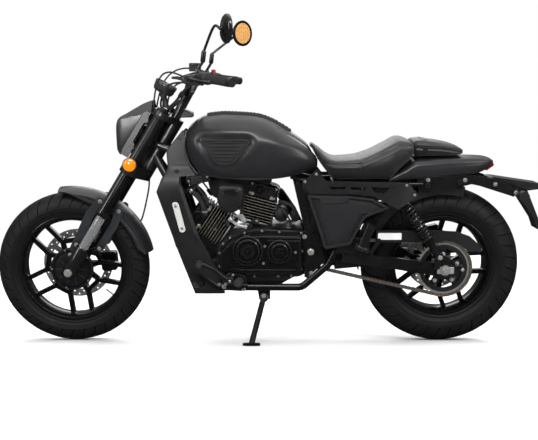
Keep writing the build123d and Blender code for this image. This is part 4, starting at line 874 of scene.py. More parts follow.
class MOTO_OT_shocks(Operator):
    """Builds the two shock absorbers with coil springs, cups, rods and rubber eyes"""
    bl_idname = "motorcycle.shocks"
    bl_label = "Shock absorbers"

    def execute(self, context):
        run = (shock_eye - shock_top).normalized()
        length = (shock_eye - shock_top).length
        one = run.orthogonal().normalized()
        two = run.cross(one)
        for side in sides:
            form = Form(side)
            for profile in (
                    [(14, 8), (14, 13), (18, 20), (24, 23.5), (29, 23.5), (29, 12), (150, 12), (150, 7),
                     (length - 70, 7)],
                    [(length - 92, 9), (length - 92, 24), (length - 86, 24), (length - 80, 18),
                     (length - 76, 16), (length - 20, 15), (length - 14, 11)],
                    [(100, 15.5), (100, 16), (length - 82, 16), (length - 82, 15.5)]):
                form.turned(shock_top, profile, axis=run)
            spiral = []
            for k in range(int(coils * coil_steps) + 1):
                t = k / (coils * coil_steps)
                # end coils lie closed on their cups
                along = 31 + (length - 92 - 36) * (t - 0.045 * sin(2 * pi * t))
                angle = 2 * pi * coils * t
                spiral.append(form.there(form.there(shock_top) + run * along
                                         + (one * cos(angle) + two * sin(angle)) * coil_radius))
            form.swept(spiral, wire_radius, 8, 1)
            for at in (shock_top, shock_eye):
                form.turned(at, [(-11, 9), (-11, 15), (-9, 16.5), (9, 16.5), (11, 15), (11, 9)],
                            axis=form.there(across))
                form.turned(at, [(-12.5, 8.2), (-12.5, 12.5), (12.5, 12.5), (12.5, 8.2)], 20, 2,
                            form.there(across))
                form.turned(at, [(12, 4), (12, 11), (15, 11), (15.5, 9.5), (19, 9.5), (20, 8), (20, 4)], 6,
                            3)
            form.piece("shock", "powder_coated_steel spring_paint soft_rubber zinc_plated_steel",
                       "rear_shocks")
        return {"FINISHED"}


# --- final drive ------------------------------------------------------------------------------
chain_y = -92
drive_small = Vector((89, chain_y, 385))
drive_large = Vector((720, chain_y, 309))
small_pitch_radius = 38
large_pitch_radius = 106
chain_pitch = 15.875
plate_end_radius = 6.6
# shares of a tooth's pitch and the radius there
tooth = ((0, 99.8), (0.16, 100.4), (0.32, 105), (0.44, 109.5), (0.56, 109.5), (0.68, 105), (0.84, 100.4))


def chain_loop(steps):
    """Points evenly round the chain's closed run, and its length."""
    run = Vector((drive_large.x - drive_small.x, drive_large.z - drive_small.z))
    base = atan2(run.y, run.x)
    tilt = acos((small_pitch_radius - large_pitch_radius) / run.length)

    def at(centre, radius, angle):
        return Vector(on_circle(centre, radius, angle))

    tops = at(drive_small, small_pitch_radius, base + tilt), at(drive_large, large_pitch_radius, base + tilt)
    lows = at(drive_large, large_pitch_radius, base - tilt), at(drive_small, small_pitch_radius, base - tilt)
    straight = (tops[1] - tops[0]).length
    wrap_large, wrap_small = large_pitch_radius * 2 * tilt, small_pitch_radius * (2 * pi - 2 * tilt)
    total = sum([straight, wrap_large, straight, wrap_small])
    points = []
    for s in (total * i / steps for i in range(steps)):
        if s < straight:
            point = tops[0] + (tops[1] - tops[0]) * (s / straight)
        elif s < straight + wrap_large:
            point = at(drive_large, large_pitch_radius, base + tilt - (s - straight) / large_pitch_radius)
        elif s < total - wrap_small:
            point = lows[0] + (lows[1] - lows[0]) * ((s - straight - wrap_large) / straight)
        else:
            point = at(drive_small, small_pitch_radius,
                       base - tilt - (s - (total - wrap_small)) / small_pitch_radius)
        points.append(point)
    return points, total


class MOTO_OT_drive(Operator):
    """Builds the roller chain link by link and the toothed rear sprocket"""
    bl_idname = "motorcycle.drive"
    bl_label = "Chain and sprocket"

    def execute(self, context):
        count = 2 * round(chain_loop(2)[1] / chain_pitch / 2)
        pins, _ = chain_loop(count)
        form = Form()
        for i, (pin, after) in enumerate(zip(pins, pins[1:] + pins[:1])):
            middle, run = (pin + after) / 2, after - pin
            angle = atan2(run.y, run.x)
            # a waisted link plate
            outline = []
            for turn in (2 * pi * k / 18 for k in range(18)):
                waist = 1 - 0.22 * (1 - min(1, abs(cos(turn)) * 2.4))
                end = 1 if cos(turn) >= 0 else -1
                x = end * run.length / 2 * min(1, abs(cos(turn)) * 1.9) + plate_end_radius * cos(turn)
                z = plate_end_radius * sin(turn) * waist
                outline.append((middle.x + x * cos(angle) - z * sin(angle), middle.y
                                + x * sin(angle) + z * cos(angle)))
            for side in sides:
                # outer and inner links take turns
                near = chain_y + side * (5.2 if i % 2 else 7.4)
                form.plate(outline, near, near + side * 1.6, 0.5)
            at = (pin.x, chain_y, pin.y)
            form.turned(at, [(-5, 4.9), (5, 4.9)], 10, 1)
            form.turned(at, [(-9, 2.2), (-9, 2.4), (9, 2.4), (9, 2.2)], 8, 1)
        form.piece("drive_chain", "oiled_chain_steel zinc_plated_steel", "chain", smooth=30)
        cog = Form()
        teeth = round(2 * pi * large_pitch_radius / chain_pitch)
        turns = [(2 * pi * (k + place) / teeth, radius) for k in range(teeth) for place, radius in tooth]
        outer = [(radius * cos(t), radius * sin(t)) for t, radius in turns]
        inner = [(93 * cos(2 * pi * k / len(outer)), 93 * sin(2 * pi * k / len(outer)))
                 for k in range(len(outer))]
        cog.rings([[(drive_large.x + x, y, drive_large.z + z) for x, z in loop] for loop, y in
                   ((inner, -95.4), (outer, -94.4), (outer, -89.6), (inner, -88.6))], closed=True)
        for angle in (radians(72 * k + 20) for k in range(5)):
            cog.plate([(drive_large.x + a * cos(angle) - h * sin(angle), drive_large.z + a * sin(angle)
                        + h * cos(angle)) for a, h in ((84, 17), (70, 10), (44, 13), (44, -13), (70, -10),
                                                       (84, -17))], -88.8, -95.2, 0.8, 2)
            at = (drive_large.x + 56 * cos(angle), -95, drive_large.z + 56 * sin(angle))
            cog.turned(at, [(-0.5, 9), (1.2, 9), (1.2, 7.5), (8, 7.5), (9, 6)], 6, 1, -across)
        ring = [(88.6, 76), (88.6, 93.2), (95, 93.2), (95, 76)]
        cog.turned((drive_large.x, 0, drive_large.z), ring, 64, 2, -across, closed=True)
        cog.turned(drive_large, [(-22, 14), (-22, 46), (3, 46), (3.4, 44), (3.4, 14)], 40,
                   2, -across, closed=True)
        cog.piece("rear_cog", "zinc_plated_steel machined_aluminium powder_coated_steel", "rear_sprocket",
                  "rear_wheel", 30)
        return {"FINISHED"}


# --- headlamp cowl ----------------------------------------------------------------------------
# x, then half width and z of the foot, the bulge, the crease and the deck
cowl_rows = [
    (-527, 74, 774, 80, 806, 84, 836, 70, 858), (-524, 78, 762, 87, 816, 89, 862, 73, 873),
    (-512, 83, 747, 95, 826, 93.5, 878, 74, 888), (-490, 86, 762, 97, 836, 95, 884, 71, 900),
    (-468, 88, 782, 97.5, 846, 96, 889, 66, 913), (-446, 89, 815, 97.5, 866, 96, 894, 59, 926),
    (-426, 90, 848, 97, 882, 95.5, 898, 52, 937), (-404, 89, 880, 94, 898, 93, 904, 44, 946),
    (-393, 87, 897, 91, 903, 91, 906, 40, 949)]
cowl_wall = 3.2


def cowl_loop(row, inset):
    """One open-bottomed cross-section of the cowl, drawn in by its wall."""
    x, foot, foot_z, bulge, bulge_z, crease, crease_z, deck, deck_z = row
    side = arc((foot - inset, foot_z), (bulge - inset, bulge_z), (crease - inset, crease_z - inset), 10)
    side += [(crease - inset, crease_z - inset), (crease - inset - 1.2, crease_z - inset + 1.2)]
    deck_run = [(crease - inset - 1.2 + (deck - crease + 1.2) * k / 4,
                 crease_z - inset + 1.2 + (deck_z - crease_z - 1.2) * k / 4) for k in range(1, 5)]
    top = [(deck * (1 - k / 4), deck_z - inset + 1.6 * (1 - (1 - k / 4) ** 2)) for k in range(1, 4)]
    right = side + deck_run + top
    return [(x, y, z) for y, z in right + [(0, deck_z - inset + 1.6)] + [(-y, z) for y, z in right[::-1]]]


class MOTO_OT_front(Operator):
    """Builds the headlamp cowl with its sharp crease, the lamp, its brackets and the indicators"""
    bl_idname = "motorcycle.front"
    bl_label = "Headlamp, cowl and indicators"

    def execute(self, context):
        cowl = Form()
        stations = smooth_rows(cowl_rows, 5)
        loops = [cowl_loop(row, 0) for row in stations] + [cowl_loop(row, cowl_wall)
                for row in stations[::-1]]
        cowl.rings(loops, closed=True, sheet=True)
        # the rim along the open foot joins the outside to the inside
        count = len(loops[0])
        for i in range(len(stations) - 1):
            a, b, c, d = (count * loop for loop in (i, i + 1, len(loops) - 1 - i, len(loops) - 2 - i))
            cowl.faces += [(a, b, d, c), (a + count - 1, c + count - 1, d + count - 1, b + count - 1)]
            cowl.kinds += [0, 0]
        cowl.piece("cowl_shell", "matt_body_paint", "headlight_cowl", "steering", 28)
        lamp = Form()
        for count, kind, profile in (
                (40, 0, [(-62, 20), (-60, 34), (-52, 48), (-34, 62), (-14, 66), (0, 68), (9, 68), (11, 66),
                         (11, 62), (6, 60), (6, 56), (-4, 55), (-26, 40), (-34, 22)]),
                (40, 1, [(4.5, 61.5), (9, 60), (13, 48), (16, 28), (17, 0.1), (14, 0.1), (13, 28), (10, 46),
                         (6, 57)]),
                (32, 2, [(-30, 0.2), (-30, 20), (-14, 34), (0, 40), (2, 40), (2, 37), (-12, 30), (-26, 16),
                         (-27, 0.2)])):
            lamp.turned((-505, 0, 815), profile, count, kind, (-1, 0, 0))
        mount = on_stem(487) + fork_ahead * 62
        lamp.swept([mount, mount + Vector((-4, 0, 36)), mount + Vector((-8, 0, 70))], 8, 10)
        lamp.piece("round_headlamp", "moulded_abs clear_lens hard_chrome", "headlamp", "steering")
        # a flat rail in front of the leg with a stepped edge: distance up the leg, distance ahead of it
        rail = [on_leg(reach) + fork_ahead * ahead for reach, ahead in ((498, 27), (498, 58), (512, 63),
                (676, 63), (690, 56), (690, 36), (668, 36), (660, 29), (648, 29), (644, 40),
                (560, 40), (556, 29))]
        for side in sides:
            bracket = Form(side)
            bracket.plate(rounded([(point.x, point.z) for point in rail], 4, 2), 97.5, 103.8)
            for reach in (540, 640):
                point = on_leg(reach, 100)
                bracket.swept([point + fork_ahead * 25.4, point + fork_ahead * 36], 5, 10, 1)
            bracket.piece("lamp_bracket", "powder_coated_steel powder_coated_steel", "headlamp_brackets",
                          "steering", 30)
            light = Form(side)
            at = (-470, 138, 714)
            light.turned(at, [(0, 8), (1, 20), (4, 26), (12, 27), (13.5, 26), (13.5, 24.5)], 32)
            light.turned(at, [(11, 24.6), (14, 24.4), (18, 21), (20.5, 14), (21.6, 6), (21.8, 0.1)], 32, 1)
            light.swept([(-470, 133.5, 706), (-470, 136, 706), (-470, 139, 708)], 8)
            light.swept([(-470, 133.4, 706), (-470, 137, 706)], 10.5, 12, 2)
            light.piece("front_indicator", "moulded_abs amber_acrylic soft_rubber",
                        "front_indicators", "steering")
        return {"FINISHED"}


# --- engine -----------------------------------------------------------------------------------
crank = Vector((-31, 0, 388))
cover_outline = [(-138, 318), (-138, 380), (-92, 428), (-30, 446), (60, 450), (172, 446), (174, 306),
                 (160, 294), (-40, 293), (-120, 306)]
flange_outline = [(-146, 308), (-146, 388), (-106, 432), (-44, 458), (24, 466), (90, 462), (180, 459),
                  (181, 304), (166, 284), (85, 278), (-8, 277), (-70, 284), (-130, 294)]
# by side: each round cover's x, z, radius
round_covers = {-1: ((-31, 388, 50), (89, 385, 38)), 1: ((62, 372, 66), (-60, 380, 40))}
# distance across and how far each step of a round cover lies outside its radius; then the boss at its centre
round_steps = ((144, 9), (149, 8), (152.5, 4), (152.5, 1), (149, -1), (149.5, -2.5), (161, -3.5), (164, -7),
               (164, -11), (162, -12.5), (162, -20), (165, -22), (166.5, -26))
round_boss = [(166.5, 11), (164.5, 9.5), (164.5, 6.5), (167.5, 5.5), (168.6, 0.1)]
flange_bolts = [(-139, 322), (-139, 374), (-126, 410), (-99, 434), (-44, 452), (22, 460), (88, 456),
                (172, 452), (175, 382), (172, 312), (134, 286), (84, 284), (-6, 283), (-70, 290)]


class MOTO_OT_engine_covers(Operator):
    """Builds the crankcase covers with their flanges, stepped round covers, ribs and bolts"""
    bl_idname = "motorcycle.engine_covers"
    bl_label = "Engine covers"

    def execute(self, context):
        for side in sides:
            form = Form(side)
            form.plate(rounded(flange_outline, 8, 2), 105.3, 121, 3)
            form.slab(rounded(cover_outline, 14, 4), ((0, 120.5), (0, 134), (2.5, 142),
                                                      (7, 146.5), (14, 147.5)))
            # ribs cast along the top of the cover
            for z in (438, 427):
                form.swept([(44, 146.8, z), (60, 147.6, z + 0.5), (160, 147.6, z - 2),
                            (168, 146, z - 3)], 2.2, 8)
            form.swept([(-120, 144.5, 326), (-60, 147, 314), (150, 147, 314)], 2, 8)
            for x, z, radius in round_covers[side]:
                form.turned((x, 0, z), [(y, radius + step) for y, step in round_steps] + round_boss, 56)
                for turn in (radians(60 * k + 30) for k in range(6 if radius > 60 else 0)):
                    form.bolt(Vector((x, 0, z)) + across * 151
                              + Vector((cos(turn), 0, sin(turn))) * (radius + 4.5), 4.2, 4, 1)
            for x, z in flange_bolts:
                form.turned((x, 104, z), [(0, 8.5), (17.5, 8.5), (18.5, 7.5)], 14)
                form.bolt((x, 121.5, z), 4.8, 5, 1)
            for x, z in ((33, 406), (28, 340), (149, 382)):
                form.turned((x, 146, z), [(0, 7.5), (2.6, 7)], 14)
                form.bolt((x, 148, z), 4.6, 4.5, 1)
            form.piece("engine_cover", "engine_paint zinc_plated_steel", "engine_covers", smooth=35)
        return {"FINISHED"}


# name, angle of the axis up from straight back
cylinder_angles = [("front_cylinder", 146), ("rear_cylinder", 75)]
fin_pitch = 11
# one fin: height on it, half length, half width; then which of those are joined, and with which finish
fin = ((0, 53, 53), (0, 63.5, 69.5), (1.2, 65.4, 71.4), (1.5, 65.8, 71.8), (2.7, 65.8, 71.8),
       (3, 65.4, 71.4), (4, 63.5, 69.5), (4, 53, 53))
fin_parts = ((0, 2, 0), (1, 3, 0), (2, 6, 1), (5, 7, 0), (6, 8, 0))


def slab_loops(origin, along, steps, corner):
    """Rounded-rectangle loops square to an axis: distance along it, half length, half width of each."""
    aside = across.cross(along).normalized()
    loops = []
    for distance, half_long, half_wide in steps:
        radius = min(corner, half_long - 0.5, half_wide - 0.5)
        loop = []
        for quarter, (sl, sw) in enumerate(((1, 1), (-1, 1), (-1, -1), (1, -1))):
            for turn in (pi / 2 * (quarter + k / 4) for k in range(5)):
                a = (half_long - radius) * sl + radius * cos(turn)
                w = (half_wide - radius) * sw + radius * sin(turn)
                loop.append(origin + along * distance + aside * a + across * w)
        loops.append(loop)
    return loops


class MOTO_OT_cylinders(Operator):
    """Builds both finned cylinders with bright fin edges, heads, cam covers and nuts"""
    bl_idname = "motorcycle.cylinders"
    bl_label = "Cylinders"

    def execute(self, context):
        for name, angle in cylinder_angles:
            along = Vector((cos(radians(angle)), 0, sin(radians(angle))))
            aside = across.cross(along).normalized()
            form = Form()

            def block(steps, corner, kind=0, caps=True):
                form.rings(slab_loops(crank, along, steps, corner), kind, caps=caps)

            block([(88, 54, 54), (112, 54, 54), (200, 54, 54)], 20)
            block([(88, 62, 66), (100, 64, 68), (104, 62, 66)], 16)
            for low in (112 + fin_pitch * k for k in range(8)):
                for first, last, kind in fin_parts:
                    block([(low + height, *size) for height, *size in fin[first:last]], 16, kind, False)
            # the head with three thinner fins, then the cam cover
            block([(200, 56, 60), (250, 56, 60)], 14)
            for low in (203, 215, 227):
                block([(low, 54, 58), (low, 61, 65), (low + 4.2, 61, 65), (low + 4.2, 54, 58)], 14, 0, False)
            block([(238, 58, 62), (240, 61.5, 65.5), (247, 61.5, 65.5), (250, 57, 60), (253.6, 48, 54)], 14)
            for _ in form.both():
                form.turned(crank + along * 226 - aside * 14, [(56, 27), (68, 26), (70.5, 23), (70.5, 17),
                        (69, 16), (69, 9), (71, 8), (71.5, 0.1)], 32)
                for offset in (-48, 48):
                    for reach in (206, 243):
                        form.bolt(crank + along * reach + aside * offset + across * 65, 5, 5, 2)
                # studs down the fins' flanks
                for offset in (-38, 38):
                    form.turned(crank + aside * offset + across * 66 + along * 200.5,
                                [(0, 7.5), (2, 7.5), (2, 6.6), (9, 6.6), (11, 4), (11.5, 0.1)], 6, 2, along)
            form.piece(f"{name}_dressed", "engine_paint bright_fin_edge zinc_plated_steel", name, smooth=35)
        return {"FINISHED"}


class MOTO_OT_engine_fittings(Operator):
    """Builds the shields between the cylinders and the small fittings in the V"""
    bl_idname = "motorcycle.engine_fittings"
    bl_label = "Engine fittings"

    def execute(self, context):
        for side in sides:
            form = Form(side)
            form.slab(rounded([(-144, 640), (-148, 580), (-135, 545), (-97, 526), (-59, 545), (-43, 580),
                               (-46, 634)], 20, 5), ((0, 84), (0, 128), (3, 138), (8, 144),
                                                     (16, 147.4), (26, 148)))
            # a small raised blank panel near the top
            form.plate(rounded([(-128, 630), (-124, 600), (-118, 595), (-76, 595), (-70, 600), (-64, 630)],
                               4, 3), 145.5, 148, 1, 1)
            form.plate(rounded([(-120, 624), (-117, 604), (-77, 604), (-74, 624)], 3, 2), 146, 148, 0.6)
            form.turned((-98, 40, 598), [(0, 24), (46, 24)])
            form.swept([(-98, 40, 598), (-98, 40, 678)], 11.5, 14)
            form.piece("intake_shield", "moulded_abs satin_grey_paint", "intake_covers")
            bits = Form(side)
            # an angled bracket, a pipe with its unions and a sensor in the V between the barrels
            bits.plate([(-78, 516), (-52, 520), (-34, 492), (-48, 484)], 84, 88, 0.8)
            bits.bolt((-64, 88, 508), 5, 5)
            bits.bolt((-46, 88, 494), 4.2, 5)
            bits.swept([(-100, 92, 500), (-84, 92, 486), (-62, 92, 474), (-36, 96, 470)], 5.5)
            for at, axis in (((-100, 92, 500), (0.75, 0, -0.66)), ((-40, 96, 470), (1, 0, -0.15))):
                bits.turned(at, [(-5, 6), (-5, 8.4), (5, 8.4), (5, 6)], 6, 0, axis)
            bits.turned((-20, 98, 478), [(-6, 4), (-6, 7.5), (8, 7.5), (8, 5.5), (20, 5.5), (22, 4)], 12, 1,
                        (0.25, 0.3, 0.92))
            bits.turned((-112, 88, 480), [(-8, 9), (4, 9), (6, 7), (16, 7), (16, 4)], 14, 1, (-0.5, 0, 0.86))
            bits.plate([(-12, 500), (8, 504), (14, 488), (-8, 482)], 78, 96, 1.2, 1)
            bits.bolt((2, 96, 494), 4.5, 5)
            bits.piece("v_fittings", "machined_aluminium painted_casting", smooth=35)
        return {"FINISHED"}


# --- shrouds, side panels and covers ----------------------------------------------------------
# z, front edge x, rear edge x, distance out of the face
shroud_rows = [
    (837, -279, -273, 66), (828, -287, -266, 69), (812, -300, -265, 71), (790, -318, -266, 72),
    (762, -341, -267, 73), (735, -340, -261, 74), (716, -338, -253, 75), (705, -337, -248, 77),
    (696, -338, -243, 81), (684, -343, -234, 90), (672, -350, -225, 99), (669, -351.5, -223, 101),
    (666, -353, -282, 103), (656, -358, -285, 110), (640, -364, -284, 117), (628, -369, -280, 119.4),
    (608, -376.5, -273, 120), (560, -360, -258, 120), (500, -339.5, -238, 120), (428, -314.5, -215, 120),
    (369, -294, -182, 120), (308, -271, -147, 120), (260, -252.5, -133, 120), (226, -239.5, -123, 120),
    (214, -236, -119.5, 117)]


class MOTO_OT_shrouds(Operator):
    """Builds the radiator shrouds with their chamfered edges, slot plates and screws"""
    bl_idname = "motorcycle.shrouds"
    bl_label = "Radiator shrouds"

    def execute(self, context):
        rows = []
        for upper, lower in zip(shroud_rows, shroud_rows[1:]):
            steps = max(1, int((upper[0] - lower[0]) / 9))
            rows += [[a + (b - a) * (k / steps) for a, b in zip(upper, lower)] for k in range(steps)]
        loops = []
        for z, front, rear, y in rows + [shroud_rows[-1]]:
            width = rear - front
            start, end = front + min(7, width * 0.25), rear - min(13 if z < 640 else 6, width * 0.3)
            drop = 7 if z < 660 else 4
            thick = 13.5 if z < 666 else 9.5
            loop = [(front, y - thick, z), (front, y - 4.5, z), (front + (start - front) * 0.4, y - 1.2, z)]
            for x in (start + (end - start) * k / 8 for k in range(9)):
                # a scoop pressed in near the foot
                scoop = 12 * ease(306 - z, 0, 40) * ease(z - 236, 0, 8) * ease(x + 262
                        + (z - 300) * 0.28, 6, 11)
                scoop *= 1 - ease(x + 262 + (z - 300) * 0.62, 30, 40)
                # the face folds back behind a line that runs down and rearwards
                scoop += 5 * ease(x + 0.62 * (z - 428) + 262, 0, 34) * ease(450 - z, 0, 30)
                loop.append((x, y - scoop, z))
            loops.append(loop + [(rear - 2, y - drop, z), (rear, y - drop - 2, z), (rear, y - thick, z)])
        for side in sides:
            form = Form(side)
            form.rings([[form.there(p) for p in loop] for loop in loops])
            form.plate(rounded([(-318, 566), (-306, 572), (-293, 566), (-267, 462), (-277, 453),
                                (-290, 456)], 9, 4), 119, 122.6, 1.2, 1)
            form.bolts(((-304, 555), (-281, 470)), 122.4, 5.5, 3.5, 2)
            for x, z in ((-289, 805), (-300, 681), (-213, 251)):
                (za, _, _, ya), (zb, _, _, yb) = next(pair for pair in zip(shroud_rows, shroud_rows[1:])
                                                      if pair[1][0] <= z <= pair[0][0])
                face = yb + (ya - yb) * (z - zb) / (za - zb)
                form.turned((x, face - 1, z), [(0, 10), (2.2, 9), (2.2, 7), (0.6, 6.4)], 20)
                form.bolt((x, face, z), 5, 3.5, 3)
            form.piece("shroud", "moulded_abs pale_reflector zinc_plated_steel powder_coated_steel",
                       "radiator_shrouds", smooth=32)
            # a thin lip runs down the tank's front edge
            trim = Form(side)
            trim.swept(smooth_path([(-262, 74, 835), (-270, 76.5, 800), (-268, 78, 762), (-256, 80, 720),
                                    (-236, 88, 690), (-222, 96, 674)], 5), 3.6, 10)
            trim.piece("tank_lip", "satin_grey_paint")
        return {"FINISHED"}


panel_outline = [(190, 603), (350, 602), (436, 592), (507, 553), (411, 517), (356, 412), (258, 395)]
# the raised rim, then the share of the field inside it and how far out its bulge is there
panel_rim = ((0, 150), (0, 156), (2, 160), (6, 162), (11, 162), (14.5, 152.5))
panel_bulge = ((1, 152.5), (0.9, 154.6), (0.75, 157.2), (0.55, 159.6), (0.3, 161.3), (0.05, 161.9))
# left, right, low and high ends of the belt covers' slots
belt_slots = [(273, 334, 625, 634), (351, 413, 622, 634), (427, 498, 608, 633)]


class MOTO_OT_panels(Operator):
    """Builds the side panels with their raised rims and blank fields, and finishes the covers above"""
    bl_idname = "motorcycle.panels"
    bl_label = "Side panels and covers"

    def execute(self, context):
        outline = rounded(panel_outline, 12, 4)
        inner = inset_outline(outline, panel_rim[-1][0])
        middle_x, middle_z = sum(x for x, _ in inner) / len(inner), sum(z for _, z in inner) / len(inner)
        for side in sides:
            form = Form(side)
            form.slab(outline, panel_rim)
            form.rings([[form.there((middle_x + (x - middle_x) * share, y,
                                     middle_z + (z - middle_z) * share)) for x, z in inner]
                        for share, y in panel_bulge])
            # the blank field where a badge would sit
            form.plate(rounded([(232, 592), (248, 570), (330, 571), (346, 583), (346, 592)], 4, 3), 159,
                       161.9, 1.2)
            form.piece("side_panel", "matt_body_paint", "side_panels", smooth=30)
            cover = Form(side)
            for x, z in ((224, 682), (182, 654), (560, 640), (590, 604)):
                cover.turned((x, 169.5, z), [(0, 8.5), (1.2, 8)], 18)
                cover.bolt((x, 170, z), 5.2, 3.5, 1)
            # fine bars behind the slots
            for left, right, low, high in belt_slots:
                count = int((right - left) / 9)
                for x in (left + (right - left) * k / count for k in range(1, count)):
                    cover.plate([(x - 1.2, low + 1), (x + 1.2, low + 1), (x + 1.2, high - 1),
                                 (x - 1.2, high - 1)], 159, 162, 0.3)
            cover.piece("cover_screws", "moulded_abs zinc_plated_steel", smooth=30)
        return {"FINISHED"}


# --- bars, mirrors, gauge ---------------------------------------------------------------------
bar_knee = Vector((-232, 200, 1040))
bar_end = Vector((-88, 372, 1020))
outward = (bar_end - bar_knee).normalized()
# level and square to the bar's end run, ahead of it
level_ahead = (Vector((-1, 0, 0)) + outward * outward.x).normalized()
perch_at = 180
# by side: points of the stalk above its collar, glass centre, direction the glass faces
mirror_table = {-1: ((-145, 250, 1211), (-121, 268, 1203), (-104, 275, 1204), (0.92, -0.39, 0)),
                1: ((-103, 260, 1191), (-82, 268, 1205), (-64, 275, 1211), (0.70, -0.71, 0))}


def on_grip(inward, ahead=0, above=0):
    """A point of the right bar's end run, that far inward from its end."""
    return bar_end - outward * inward + level_ahead * ahead + up * above


